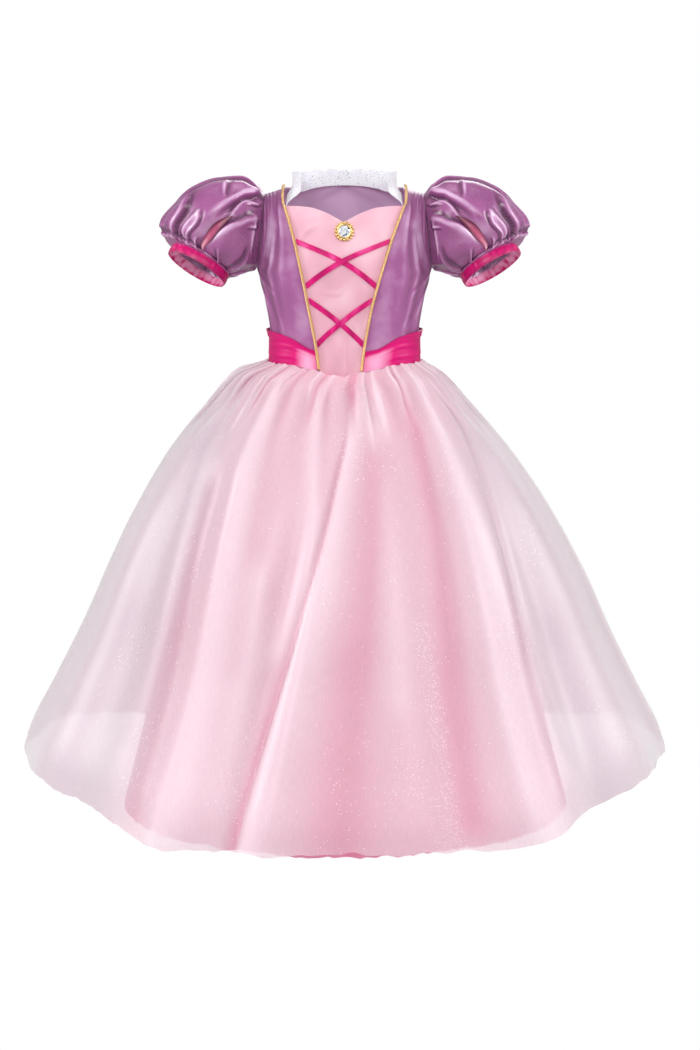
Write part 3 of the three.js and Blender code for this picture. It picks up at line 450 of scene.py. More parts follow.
# Soft uneven waves: seed, number of waves, shortest and longest wave in millimetres
WAVES = {
    "insert": (5, 6, 14, 40),
    "insert_tone": (6, 7, 25, 90),
    "bodice": (11, 6, 22, 60),
    "bodice_tone": (15, 6, 40, 120),
    "sleeve_tone": (17, 6, 25, 80),
    "cuff_tone": (27, 7, 5, 16),
    "collar": (33, 9, 3, 16),
    "ribbon": (40, 7, 7, 24),
    "ribbon_tone": (60, 5, 10, 40),
    "waist": (31, 7, 9, 40),
    "hem": (21, 9, 12, 90),
    "skirt": (30, 8, 60, 220),
}

# Spans of the cloths in millimetres for a unit of their column and row
INSERT_SPAN = (45, 180)
BODICE_SPAN = (70, 215)
CUFF_SPAN = (43, 9)
BELT_SPAN = (110, 40)
COLLAR_SPAN = (85, 0)
RIBBON_SPAN = (120, 3)

# Tones of the cloths, from 0 for the deepest to 1 for the lightest: the base, the share of the
# laid creases' painted highlight and shade and of soft clouds, and painted highlights of strength,
# column, reach, row and reach. The bodice's side is painted shade that deepens toward its sides.
ALL = math.inf
INSERT_LOOK = {"base": 0.5, "ridge": 0.2, "cloud": 0.14, "painted_highlights": ((0.25, 0.2, 0.5, 0, ALL),)}
BODICE_LOOK = {
    "base": 0.4,
    "ridge": 0.26,
    "cloud": 0.06,
    "painted_highlights": ((0.17, 0.12, 0.15, 0, ALL), (0.1, 0.52, 0.1, 0, ALL), (0.34, 0.62, 0.2, 0.66, 0.16)),
    "side": 0.22,
}
SLEEVE_LOOK = {
    "base": 0.36,
    "ridge": 0.6,
    "cloud": 0.05,
    "painted_highlights": ((0.16, 84, 16, 0.62, 0.2), (0.12, 96, 30, 0.6, 0.3), (0.14, 40, 14, 0.2, 0.12)),
}
BELT_LOOK = {"base": 0.22, "ridge": 0.08, "cloud": 0, "painted_highlights": ((0.08, 0.36, 0.2, 0, ALL),)}
# Painted highlight of the belt near the piping
BELT_HIGHLIGHT = ((0.72, 0.1, 0.16, 0, ALL),)
# Painted shade of the slash: deep at its top and its edges as shade inside the slit, rising to light
# toward the cuff
SLASH_PAINTED_SHADING = {"base": 0.06, "rise": 0.9, "bend": 1.6, "edges": 0.5}
# The cuff is darker toward its outer edge, and its clouds paint the light and shade of small gathers
CUFF_LOOK = {"base": 0.38, "rim": 0.3, "cloud": 0.16}
RIBBON_LOOK = {"base": 0.45, "cloud": 0.2}
# On the skirts the folds, gathers, bands and tucks paint highlight on their ridges and shade in their
# valleys
SKIRT_LOOK = {"base": 0.5, "folds": 0.007, "gathers": 0.01, "bands": 0.75, "tucks": 0.9}

# Where a relief or a tone grows or fades, in shares of a panel or millimetres down a skirt
STRAP_START = (0.62, 0.8)
# Where the painted shade toward the bodice's side grows
BODICE_SIDE_SHADE = (0.6, 1)
SLASH_CLEAR = (5, 9)
RIBBON_CLEAR = (0.03, 0.12)
BAND_START = (20, 140)
TUCK_START = (0, 12)
WAIST_SEAM_END = (0, 9)
RAGGED_HEM = (SKIRT_LENGTH - 30, SKIRT_LENGTH)

# Radii on which waves run round a sleeve or a skirt, and their share down it, in millimetres
SLEEVE_ROUND = (50, 90)
SKIRT_ROUND = (300, 0.4)
HEM_ROUND = 400
WAIST_ROUND = 97

# Small reliefs, in millimetres
INSERT_RIPPLE = 0.12
BODICE_RIPPLE = 0.25
RIBBON_RIPPLE = 0.35
SKIRT_RIPPLE = 0.8
CUFF_BULGE = 0.7
COLLAR_FRAY = 0.9
WAIST_SEAM = (1.6, 1.2)

# Brooch and cord, in millimetres
DISH = {"inset": 2.2, "height": 1.8, "lip": 1.4, "lip_height": 1.4, "well": 2, "bevel": 0.25}
PETAL = {"size": (2.3, 2.15, 1.9), "inset": 2.5, "height": 1.5, "cut": 0.1}
STONE = {"girdle": 1.1, "middle": 2.05, "facet": 1.7, "slope": 1.7, "crown": 1.9, "rise": 0.8}
# Painted reflections of the stone's facets: their tones and how often each is drawn
FACET_PAINTED_REFLECTIONS = ([1.0, 0.62, 0.3, 0.0], [0.5, 0.2, 0.16, 0.14])
FACET_SEED = 8
CORD = {"strands": 3, "off": 0.85, "radius": 0.98, "sides": 8, "places": 421}


def mix(first, last, share):
    return first + (last - first) * share


def smooth_step(limits, value):
    share = np.clip((value - limits[0]) / (limits[1] - limits[0]), 0, 1)
    return share * share * (3 - 2 * share)


def off_ends(value, first, last, top=1):
    """1 inside a range from 0 to its top, and smoothly 0 at both of its ends."""
    return smooth_step((0, first), value) * smooth_step((0, last), top - value)


def hill(value, middle, reach):
    return np.exp(-(((value - middle) / reach) ** 2))


def read(rows, column, at):
    """Smooth value of one column of a table, read at values of its first column."""
    x, y = next(iter(rows.values())), rows[column]
    at = np.asarray(at, float)
    slopes = np.diff(y) / np.diff(x)
    before, after = slopes[:-1], slopes[1:]
    same_way = before * after > 0
    total = np.where(same_way, before + after, 1)
    inside = np.where(same_way, 2 * before * after / total, 0)
    tangents = np.concatenate([slopes[:1], inside, slopes[-1:]])
    i = np.searchsorted(x[1:-1], at, side="left")
    span = x[i + 1] - x[i]
    t = np.clip((at - x[i]) / span, 0, 1)
    squared, cubed = t * t, t * t * t
    return (
        (2 * cubed - 3 * squared + 1) * y[i]
        + (cubed - 2 * squared + t) * span * tangents[i]
        + (3 * squared - 2 * cubed) * y[i + 1]
        + (cubed - squared) * span * tangents[i + 1]
    )


def places(x, y, z):
    return np.stack(np.broadcast_arrays(np.asarray(x, float), y, z), axis=-1)


def unit(vectors):
    return vectors / np.linalg.norm(vectors, axis=-1, keepdims=True)


def surface_normal(point, column, row, limits=(-math.inf, math.inf, -math.inf, math.inf)):
    """Outward direction of a surface that is a function of a column and a row value."""
    step = 0.002
    left, right, low, high = limits
    a = point(np.maximum(left, column - step), row)
    b = point(np.minimum(right, column + step), row)
    c = point(column, np.maximum(low, row - step))
    d = point(column, np.minimum(high, row + step))
    return unit(np.cross(b - a, d - c))


def mirrored(sign, place):
    return place * np.array([sign, 1, 1])


# Torso form
def ridge_height(x):
    slope = (SHOULDER_TIP[1] - NECK_POINT[1]) / (SHOULDER_TIP[0] - NECK_POINT[0])
    return NECK_POINT[1] + slope * (np.abs(x) - NECK_POINT[0])


def roll_share(drop):
    share = np.clip(drop, 0, 1)
    return np.sqrt(1 - (1 - share) ** 2)


def torso_width(height):
    return read(TORSO, "width", height)


def torso_angle(x, height):
    share = np.clip(x / torso_width(height), 0, 1)
    return np.arcsin(share ** (SECTION_POWER / 2))


def torso_point(face, angle, height, drop=1.0):
    bend = 2 / SECTION_POWER
    x = torso_width(height) * np.sin(np.maximum(angle, 0)) ** bend
    depth = read(TORSO, face, height)
    y = depth * np.maximum(0, np.cos(angle)) ** bend * roll_share(drop)
    return places(x, -y if face == "front" else y, height)


def drop_of(face, x, height):
    return (ridge_height(x) - height) / ROLL[face]


def waist_height(x):
    near = np.maximum(0, 1 - np.abs(x) / WAIST_DIP_REACH)
    return WAIST_HEIGHT - WAIST_DIP * near**WAIST_DIP_BEND


def torso_patch(face, inner, outer, across):
    """A patch of the torso that passes exactly through an inner and an outer edge."""
    height = mix(inner[..., 2], outer[..., 2], across)
    inner_angle = torso_angle(inner[..., 0], inner[..., 2])
    outer_angle = torso_angle(outer[..., 0], outer[..., 2])
    inner_drop = drop_of(face, inner[..., 0], inner[..., 2])
    outer_drop = drop_of(face, outer[..., 0], outer[..., 2])
    drop = mix(inner_drop, outer_drop, across)
    place = torso_point(face, mix(inner_angle, outer_angle, across), height, drop)
    rolled = ridge_height(place[..., 0]) - drop * ROLL[face]
    place[..., 2] = mix(rolled, height, smooth_step(ROLL_END, drop))
    inner_miss = inner[..., 1] - torso_point(face, inner_angle, inner[..., 2], inner_drop)[..., 1]
    outer_miss = outer[..., 1] - torso_point(face, outer_angle, outer[..., 2], outer_drop)[..., 1]
    place[..., 1] += mix(inner_miss, outer_miss, across)
    return place


def on_torso(face, x, height):
    x = np.asarray(x, float)
    angle = torso_angle(np.abs(x), height)
    place = torso_point(face, angle, height, drop_of(face, x, height))
    place[..., 0] = x
    return place


def insert_shift(height):
    return read(INSERT_CENTRE, "shift", height)


def insert_half(height):
    return read(INSERT_EDGE, "half", height)


def insert_seam(sign, height, clearance):
    shift = sign * insert_shift(height)
    return on_torso("front", shift + insert_half(height) + clearance, height)


def armhole_point(turn, direction):
    middle = (UNDERARM_HEIGHT + SHOULDER_TIP[1]) / 2
    half = (SHOULDER_TIP[1] - UNDERARM_HEIGHT) / 2
    height = middle - half * np.cos(turn)
    x = read(ARMHOLE_EDGE, "x", height)
    return places(x, direction * (SEAM_GAP / 2 + ARMHOLE_DEPTH * np.sin(turn)), height)


def side_edge(face, share):
    direction = -1 if face == "front" else 1
    height = mix(WAIST_HEIGHT, UNDERARM_HEIGHT, share / UNDERARM_SHARE)
    side = places(torso_width(height), direction * SEAM_GAP / 2, height)
    turn = np.pi * (share - UNDERARM_SHARE) / (1 - UNDERARM_SHARE)
    armhole = armhole_point(np.maximum(turn, 0), direction)
    return np.where((share <= UNDERARM_SHARE)[..., None], side, armhole)


def neck_point(rows, along):
    return places(*(read(rows, column, along) for column in "xyz"))


def front_inner_edge(sign, share):
    share = np.asarray(share, float)
    low = waist_height(insert_seam(sign, INSERT_EDGE["height"][1], SEAM_GAP)[0])
    seam = insert_seam(sign, mix(low, CORNER_HEIGHT, share / CORNER_SHARE), SEAM_GAP)
    neck = neck_point(NECK_FRONT, (share - CORNER_SHARE) / (1 - CORNER_SHARE))
    neck[..., 0] += SEAM_GAP / 2
    neck[..., 1] = np.minimum(neck[..., 1], -SEAM_GAP / 2)
    return np.where((share <= CORNER_SHARE)[..., None], seam, neck)


def back_inner_edge(share):
    top = NECK_BACK["z"][0]
    height = mix(WAIST_HEIGHT, top, share / BACK_NECK_SHARE)
    along = smooth_step((top - ROLL["back"], top), height)
    centre = on_torso("back", np.full_like(height, SEAM_GAP / 2), height)
    centre[..., 1] += along * (NECK_BACK["y"][0] - on_torso("back", SEAM_GAP / 2, top)[..., 1])
    neck = neck_point(NECK_BACK, (share - BACK_NECK_SHARE) / (1 - BACK_NECK_SHARE))
    neck[..., 0] = np.maximum(neck[..., 0], SEAM_GAP / 2)
    neck[..., 1] = np.maximum(neck[..., 1], SEAM_GAP / 2)
    return np.where((share <= BACK_NECK_SHARE)[..., None], centre, neck)


def front_panel_point(sign, across, share):
    across, share = np.broadcast_arrays(np.asarray(across, float), np.asarray(share, float))
    place = torso_patch("front", front_inner_edge(sign, share), side_edge("front", share), across)
    straight = mix(front_inner_edge(sign, 0.0)[2], WAIST_HEIGHT, across)
    dip = waist_height(place[..., 0]) - straight
    place[..., 2] += dip * (1 - smooth_step((0, WAIST_BLEND), share))
    return place


def back_panel_point(across, share):
    return torso_patch("back", back_inner_edge(share), side_edge("back", share), across)


def insert_point(across, share):
    low = waist_height(INSERT_CENTRE["shift"][0] + across * INSERT_EDGE["half"][1])
    height = mix(low, read(INSERT_TOP, "height", np.abs(across)), share)
    half = insert_half(height) - SEAM_GAP / 2
    shift = insert_shift(height)
    return on_torso("front", shift + across * half, height)


def belt_half(face, sign, across, share):
    low = WAIST_HEIGHT + LAY_GAP

    def angle_at(height):
        if face == "back":
            return mix(torso_angle(SEAM_GAP / 2, height), QUARTER_TURN, across)
        seam = insert_seam(sign, height, PIPING_RADIUS + LAY_GAP)[..., 0]
        return mix(torso_angle(seam, height), QUARTER_TURN, across)

    low_height = np.full_like(across, low)
    x = torso_point(face, angle_at(low_height), low_height)[..., 0]
    if face == "front":
        bottom, top = waist_height(x) + LAY_GAP, read(BELT_TOP, "height", x)
    else:
        bottom, top = low_height, np.full_like(across, BELT_TOP["height"][-1])
    height = mix(bottom, top, share)
    angle = angle_at(height)
    limits = (0, QUARTER_TURN, -math.inf, math.inf)
    normal = surface_normal(lambda a, h: torso_point(face, a, h), angle, height, limits)
    outwards = 1 if face == "front" else -1
    opening = smooth_step(BELT_FLARE_STRETCH, share)
    reach = LAY_GAP + SATIN_WALL + BELT_FLARE * np.sin(angle) ** 2 * opening
    return torso_point(face, angle, height) + normal * (outwards * reach)[..., None]


def belt_point(sign, column, share):
    front = belt_half("front", sign, np.minimum(column, 1.0), share)
    back = belt_half("back", sign, np.minimum(2 - column, 1.0), share)
    return np.where((column <= 1)[..., None], front, back)


def collar_half(neck, reach, along, share):
    place = neck_point(neck, along)
    sideways = place * np.array([-COLLAR_SIDEWAYS, -1, 0])
    below = read(reach, "below", along)
    above = read(reach, "above", along)
    lean = read(reach, "lean", along) * smooth_step(COLLAR_LEAN, share)
    place = place + unit(sideways) * (SATIN_WALL + 2 * LAY_GAP + lean)[..., None]
    place[..., 0] = np.maximum(place[..., 0], SEAM_GAP / 2)
    place[..., 2] += mix(-below, above, share)
    return place


def collar_point(column, share):
    back = collar_half(NECK_BACK, COLLAR_BACK, np.minimum(column, 1.0), share)
    front = collar_half(NECK_FRONT, COLLAR_FRONT, np.minimum(2 - column, 1.0), share)
    return np.where((column <= 1)[..., None], back, front)


def piping_centre(sign, share):
    """Centre line of the piping and the direction in which it stands off the seam."""
    seam_share = mix(PIPING_REACH[0], PIPING_REACH[1], share)
    edge = front_inner_edge(sign, seam_share)
    across = np.zeros_like(seam_share)
    normal = surface_normal(
        lambda a, r: front_panel_point(sign, a, r), across, seam_share, (0, 1, 0, 0.99)
    )
    outwards = smooth_step(PIPING_TURN, seam_share)
    edge = edge + normal * (PIPING_RADIUS + LAY_GAP * (1 + 2 * outwards))[..., None]
    edge[..., 0] += outwards * PIPING_RADIUS * PIPING_OUTSET
    return mirrored(sign, edge), mirrored(sign, normal)


def ribbon_point(name, sign, along, across):
    start, cross, end, lifted = RIBBONS[name]
    route = table("along height", (0, start), (0.5, cross), (1, end))
    step = 0.01
    ahead = read(route, "height", along + step)
    behind = read(route, "height", along - step)
    run = 2 * insert_half(cross)
    half = RIBBON_HALF_WIDTH * np.hypot(1, (ahead - behind) / (2 * step) / run)
    height = read(route, "height", along) + across * half
    edge = insert_half(height) - PIPING_RADIUS - LAY_GAP
    shift = insert_shift(height)
    x = shift + sign * mix(-edge, edge, along)
    normal = surface_normal(lambda a, h: on_torso("front", a, h), x, height)
    over = 1 - smooth_step(RIBBON_CROSSING, np.abs(along - 0.5))
    lift = LAY_GAP + RIBBON_WALL + lifted * RIBBON_LIFT * over
    return on_torso("front", x, height) + normal * lift[..., None]


# Sleeves
def ring_point(along, turn, radial):
    ring = {column: read(SLEEVE_RINGS, column, along) for column in SLEEVE_RINGS}
    zero = np.zeros_like(along)
    top = places(ring["topX"], zero, ring["topZ"])
    low = places(ring["lowX"], zero, ring["lowZ"])
    centre = (top + low) / 2
    centre[..., 1] = ring["middle"]
    half = np.linalg.norm(top - low, axis=-1) / 2
    up = unit(top - low)
    ahead = places(up[..., 2], 0, -up[..., 0])
    lean = ring["lean"] * DEGREE
    behind = places(0, np.cos(lean), 0) + ahead * np.sin(lean)[..., None]
    up_reach = (half + radial) * np.cos(turn)
    behind_reach = -(ring["depth"] + radial) * np.sin(turn)
    return centre + up * up_reach[..., None] + behind * behind_reach[..., None]


def hump(distance, left, right):
    share = np.where(distance < 0, -distance / left, distance / right)
    return np.where(share >= 2, 0, 0.5 + 0.5 * np.cos(np.minimum(share, 2) * np.pi / 2))


def turn_between(first, last):
    return (last - first + 180) % 360 - 180


def end_gathers(gathers, distance, turn):
    fade = np.maximum(0, 1 - distance / gathers["reach"])
    fade = fade * smooth_step((0, gathers["start"]), distance)
    phase = gathers["count"] * turn + gathers["drift"] * np.sin(gathers["waves"] * turn)
    return fade * gathers["depth"] * np.cos(phase)


def sleeve_relief(along, turn):
    degrees = turn / DEGREE
    body = np.sin(np.pi * np.clip(along, 0, 1)) ** SLEEVE_FULLNESS
    relief = end_gathers(CAP_GATHERS, along, turn) + end_gathers(CUFF_GATHERS, 1 - along, turn)
    for cap, cuff, width, depth in SLEEVE_FOLDS:
        distance = turn_between(mix(cap, cuff, along), degrees)
        relief = relief + body * depth * (hump(distance, width, width) - width / 180)
    slash = turn_between(mix(SLASH["cap"], SLASH["cuff"], along), degrees)
    open_share = smooth_step(SLASH_OPENING, along) * (1 - smooth_step(SLASH_CLOSING, along))
    return relief - open_share * SLASH["depth"] * hump(slash, SLASH["width"], SLASH["width"])


def sleeve_point(turn, along):
    along = np.clip(along, 0, 1)
    return ring_point(along, turn, sleeve_relief(along, turn))


def slash_point(sign, across, share):
    along = mix(SLASH["start"], SLASH["end"], share)
    taper = np.maximum(SLASH_NARROWEST, np.sin(np.pi * np.clip(share, 0, 1)) ** SLASH_TAPER)
    turn = (mix(SLASH["cap"], SLASH["cuff"], along) + across * SLASH["half"] * taper) * DEGREE
    normal = surface_normal(sleeve_point, turn, along, (-math.inf, math.inf, 0, 1))
    return mirrored(sign, sleeve_point(turn, along) + normal * SLASH_LIFT)


def cuff_point(turn, share):
    end = np.ones_like(turn)
    place = ring_point(end, turn, CUFF_WALL / 2)
    last = {column: values[-1] for column, values in SLEEVE_RINGS.items()}
    up = unit(np.array([last["topX"] - last["lowX"], 0, last["topZ"] - last["lowZ"]]))
    lean = last["lean"] * DEGREE
    axis = np.array([up[2] * math.cos(lean), -math.sin(lean), -up[0] * math.cos(lean)])
    return place + axis * (SEAM_GAP + SHEER_WALL + share * CUFF_WIDTH)[..., None]


# Skirts
def fold_relief(folds, degrees, share):
    relief = np.zeros_like(degrees)
    for waist, hem, left, right, depth in folds:
        distance = turn_between(mix(waist, hem, share**FOLD_SWEEP), degrees)
        relief += depth * (hump(distance, left, right) - (left + right) / 360)
    return relief


def gather_relief(gathers, turn, drop):
    grown = smooth_step((0, gathers["rise"]), drop)
    fade = 1 - smooth_step((gathers["rise"], gathers["reach"]), drop)
    phase = gathers["count"] * turn
    for waves, size, start in GATHER_DRIFTS:
        phase = phase + size * np.sin(waves * turn + start)
    return mix(gathers["top"], gathers["depth"], grown) * fade * np.cos(phase)


def skirt_point(layer, turn, drop):
    drop = np.clip(drop, 0, SKIRT_LENGTH)
    share = drop / SKIRT_LENGTH
    degrees = turn / DEGREE
    bend = 2 / mix(SECTION_POWER, 2, np.minimum(1, share / ROUND_SHARE))
    relief = gather_relief(layer["gathers"], turn, drop)
    relief += fold_relief(layer["folds"], degrees, share) * smooth_step(FOLD_GROWTH, share)
    width = read(layer["profile"], "width", drop)
    depth = width * read(layer["profile"], "share", drop)
    sine, cosine = np.sin(turn), np.cos(turn)
    x = (width + relief) * np.sign(sine) * np.abs(sine) ** bend
    y = -(depth + relief) * np.sign(cosine) * np.abs(cosine) ** bend
    sideways = np.abs(turn_between(0, degrees))
    azimuth = np.minimum(sideways, 180 - sideways)
    hem = read(layer["hem"], "height", azimuth)
    seam = x * TORSO["width"][1] / (width + relief)
    start = np.where(cosine > 0, waist_height(seam), WAIST_HEIGHT) - LAY_GAP
    return places(x + read(SWAY, "shift", drop), y, mix(start, hem, share))


# Creases and small waves
def laid_creases(rows, column, row, span, turning=False):
    """Height and lightness of creases laid along curves through three places.

    A crease is a ridge that is soft on one side and crisp on the other, with a trough beside it.
    Its lightness is a painted highlight on its crest and painted shade in its hollow.
    span is the cloth's millimetres in a unit of the column and the row.
    """
    relief = np.zeros(np.broadcast(column, row).shape)
    light = np.zeros(relief.shape)
    for u0, v0, u1, v1, u2, v2, width, depth in rows:
        wide = abs(width)
        x = (turn_between(u1, column) if turning else column - u1) * span[0]
        y = (row - v1) * span[1]
        ends = np.array([[u0 - u1, v0 - v1], [u2 - u1, v2 - v1]]) * np.array(span)
        low = np.minimum(ends.min(axis=0), 0) - 3 * wide
        high = np.maximum(ends.max(axis=0), 0) + 3 * wide
        near = (x > low[0]) & (x < high[0]) & (y > low[1]) & (y < high[1])
        px, py = x[near], y[near]
        nearest = np.full(px.shape, math.inf)
        aside, at = np.zeros(px.shape), np.zeros(px.shape)
        stops = np.linspace(0, 1, CREASE_STEPS)[:, None]
        path = (1 - stops) * (1 - 2 * stops) * ends[0] + stops * (2 * stops - 1) * ends[1]
        for index in range(CREASE_STEPS - 1):
            first, run = path[index], path[index + 1] - path[index]
            length = np.hypot(*run)
            dx, dy = px - first[0], py - first[1]
            t = np.clip((dx * run[0] + dy * run[1]) / length**2, 0, 1)
            distance = np.hypot(dx - t * run[0], dy - t * run[1])
            closer = distance < nearest
            nearest = np.where(closer, distance, nearest)
            aside = np.where(closer, (dx * run[1] - dy * run[0]) / length, aside)
            at = np.where(closer, (index + t) / (CREASE_STEPS - 1), at)
        side = np.sign(width) * aside / wide
        beyond = np.sqrt(np.maximum(0, nearest**2 - aside**2)) / wide
        ridge = hill(side, 0, np.where(side < 0, 1, CRISP_SHARE))
        trough, crest, hollow = (
            strength * hill(side, middle, reach) for middle, reach, strength in (TROUGH, CREST_HIGHLIGHT, HOLLOW_SHADE)
        )
        taper = np.sin(np.pi * mix(*CREASE_TAPER, at)) ** CREASE_FULLNESS * hill(beyond, 0, 1)
        relief[near] += depth * taper * (ridge - trough)
        # Painted highlight on the crest and painted shade in the hollow
        light[near] += taper * (crest - hollow)
    return relief, light


def waist_tucks():
    """Short uneven bands of the gathers at the waist, raised with a painted highlight or sunken with
    painted shade.
    """
    draw = np.random.default_rng(WAIST_SEED)
    rows = []
    for index in range(WAIST_TUCKS["count"]):
        top = (index + draw.uniform(-0.5, 0.5)) * 360 / WAIST_TUCKS["count"]
        lean = draw.uniform(-1, 1) * WAIST_TUCKS["lean"]
        end = draw.uniform(0.3, 1) * WAIST_TUCKS["longest"]
        left, right = draw.uniform(*WAIST_TUCKS["width"], 2)
        light = WAIST_TUCKS["light"] * draw.choice([-1, 1]) * draw.uniform(0.5, 1)
        rows.append((-BAND_FADE, end, top, top + lean / 2, top + lean, left, right, light))
    return tuple(rows)


def skirt_bands(rows, degrees, drop):
    """Strength of the bands on a skirt, which sets their height and their painted highlight or shade.
    """
    light = np.zeros(np.broadcast(degrees, drop).shape)
    for start, end, top, middle, bottom, left, right, strength in rows:
        t = np.clip((drop - start) / (end - start), 0, 1)
        turn = top * (1 - t) * (1 - 2 * t) + middle * 4 * t * (1 - t) + bottom * t * (2 * t - 1)
        aside = turn_between(turn, degrees)
        fade = off_ends(drop - start, BAND_FADE, BAND_FADE, end - start)
        light += strength * fade * hill(aside, 0, np.where(aside < 0, left, right))
    return light


TUCKS = waist_tucks()


def waves(kind, column, row, span=(1, 1), more=0):
    """Soft uneven waves, between -1 and 1 or so, of random directions and lengths."""
    seed, count, shortest, longest = WAVES[kind]
    draw = np.random.default_rng(seed + more)
    column, row = column * span[0], row * span[1]
    total = np.zeros(np.broadcast(column, row).shape)
    for _ in range(count):
        heading = draw.uniform(0, np.pi)
        length = draw.uniform(shortest, longest)
        phase = draw.uniform(0, FULL_TURN)
        along = column * np.cos(heading) + row * np.sin(heading)
        total += np.sin(FULL_TURN * along / length + phase)
    return total / math.sqrt(count)


def lit(look, column, row, light=0, cloud=0, turning=False):
    """Tone of a cloth: its base with painted highlights, its clouds and the painted highlight and shade
    on its creases.
    """
    tone = look["base"] + look["cloud"] * cloud + look["ridge"] * light
    return tone + painted_highlights_at(look["painted_highlights"], column, row, turning)


def painted_highlights_at(painted_highlights, column, row, turning=False):
    total = 0
    for strength, u, wide, v, high in painted_highlights:
        aside = turn_between(u, column) if turning else column - u
        total = total + strength * hill(aside, 0, wide) * hill(row, v, high)
    return total


# Meshes
def new_object(name, mesh):
    piece = bpy.data.objects.new(name, mesh)
    bpy.context.scene.collection.objects.link(piece)
    return piece


def mesh_of(name, vertices, faces, face_uvs=None, tone=None):
    """A smooth mesh, in metres, of four-cornered faces that point outwards."""
    a, b, c, d = (vertices[faces[:, i]] for i in range(4))
    volume = np.sum(a * (np.cross(b, c) + np.cross(c, d)))
    if volume < 0:
        faces = faces[:, ::-1]
        face_uvs = None if face_uvs is None else face_uvs[:, ::-1]
    mesh = bpy.data.meshes.new(name)
    mesh.vertices.add(len(vertices))
    mesh.vertices.foreach_set("co", (vertices * MM).astype(np.float32).ravel())
    mesh.loops.add(faces.size)
    mesh.loops.foreach_set("vertex_index", faces.astype(np.int32).ravel())
    mesh.polygons.add(len(faces))
    mesh.polygons.foreach_set("loop_start", np.arange(0, faces.size, 4, dtype=np.int32))
    mesh.update(calc_edges=True)
    mesh.validate()
    if face_uvs is not None:
        layer = mesh.uv_layers.new(name="cloth")
        layer.data.foreach_set("uv", (face_uvs * MM).astype(np.float32).ravel())
    if tone is not None:
        attribute = mesh.attributes.new("tone", "FLOAT", "POINT")
        attribute.data.foreach_set("value", tone.astype(np.float32).ravel())
    mesh.shade_smooth()
    mesh.set_sharp_from_angle(angle=SHARP_ANGLE)
    return mesh


def cloth(name, point, columns, rows, wall, **given):
    """A closed cloth wall: the surface is its outer face, and the inner face lies behind it.

    The options are wrapped, flipped, centred, relief, tone, which holds painted highlights and shade
    besides random tone, and inside, which adds to the tone of the inner face: partly a paler lining,
    partly painted light on an inner face that lies in shade.
    """
    wrapped = given.get("wrapped", False)
    limits = (columns[0], columns[-1], rows[0], rows[-1])
    if wrapped:
        limits = (-math.inf, math.inf, rows[0], rows[-1])
    column, row = np.meshgrid(columns[:-1] if wrapped else columns, rows)
    here = point(column, row)
    side = -1 if given.get("flipped") else 1
    outward = side * surface_normal(point, column, row, limits)
    if "relief" in given:
        here = here + outward * given["relief"](column, row)[..., None]
    behind = here - outward * wall
    if given.get("centred"):
        near = np.abs(here[..., 0]) < SEAM_GAP
        behind[..., 0] = np.where(near, here[..., 0], behind[..., 0])
    height, across = column.shape
    vertices = np.concatenate([here.reshape(-1, 3), behind.reshape(-1, 3)])
    back = height * across
    spans = across if wrapped else across - 1
    r, c = np.meshgrid(np.arange(height - 1), np.arange(spans), indexing="ij")
    r, c = r.ravel(), c.ravel()
    corners_r = np.stack([r, r, r + 1, r + 1], 1)
    corners_c = np.stack([c, c + 1, c + 1, c], 1)
    outer = corners_r * across + corners_c % across
    middle = here[height // 2]
    around = np.linalg.norm(np.diff(middle, axis=0, append=middle[:1]), axis=-1)
    lengths = np.concatenate([[0], np.cumsum(around)])
    down = np.linalg.norm(np.diff(here[:, across // 2], axis=0), axis=-1)
    drops = np.concatenate([[0], np.cumsum(down)])
    uvs = np.stack([lengths[corners_c], drops[corners_r]], -1)
    faces, face_uvs = [outer, (outer + back)[:, ::-1]], [uvs, uvs[:, ::-1]]

    def rim(first, last, uv):
        faces.append(np.stack([last, first, first + back, last + back], 1))
        face_uvs.append(uv)

    edge = np.arange(spans)
    following = (edge + 1) % across
    last = (height - 1) * across
    edge_uv = np.stack([lengths[edge + 1], lengths[edge], lengths[edge], lengths[edge + 1]], 1)
    rim(edge, following, np.stack([edge_uv, np.zeros_like(edge_uv)], -1))
    rim(last + following, last + edge, np.stack([edge_uv, np.full_like(edge_uv, drops[-1])], -1))
    if not wrapped:
        left = np.arange(height - 1) * across
        right = left + across - 1
        rows_uv = np.stack([drops[:-1]] * 4, 1)
        rim(left + across, left, np.stack([np.zeros_like(rows_uv), rows_uv], -1))
        rim(right, right + across, np.stack([np.full_like(rows_uv, lengths[-2]), rows_uv], -1))
    tone = None
    if "tone" in given:
        shade = np.broadcast_to(given["tone"](column, row), column.shape).ravel()
        tone = np.concatenate([shade, shade + given.get("inside", 0.0)])
    mesh = mesh_of(name, vertices, np.concatenate(faces), np.concatenate(face_uvs), tone)
    return new_object(name, mesh)


def tubes(name, lines, radius, sides):
    """One mesh of closed round tubes, each along a line of places."""
    vertices, faces, start = [], [], 0
    for line in lines:
        forward = unit(np.gradient(line, axis=0))
        aside = unit(np.cross(forward, np.array([0.31, 0.22, 0.93])))
        upward = np.cross(forward, aside)
        turn = np.arange(sides) * FULL_TURN / sides
        ring = aside[:, None] * np.cos(turn)[:, None] + upward[:, None] * np.sin(turn)[:, None]
        thickness = np.full(len(line), float(radius))
        thickness[[0, -1]] *= 0.25
        grid = line[:, None] + ring * thickness[:, None, None]
        vertices.append(grid.reshape(-1, 3))
        r, c = np.meshgrid(np.arange(len(line) - 1), np.arange(sides), indexing="ij")
        r, c = r.ravel(), c.ravel()
        here, beside = r * sides + c, r * sides + (c + 1) % sides
        faces.append(np.stack([here, beside, beside + sides, here + sides], 1) + start)
        start += len(line) * sides
    return new_object(name, mesh_of(name, np.concatenate(vertices), np.concatenate(faces)))


# Materials
def colour(red, green, blue):
    """Linear colour of a screen colour."""
    def linear(value):
        share = value / 255
        return share / 12.92 if share <= 0.04045 else ((share + 0.055) / 1.055) ** 2.4

    return (linear(red), linear(green), linear(blue), 1.0)


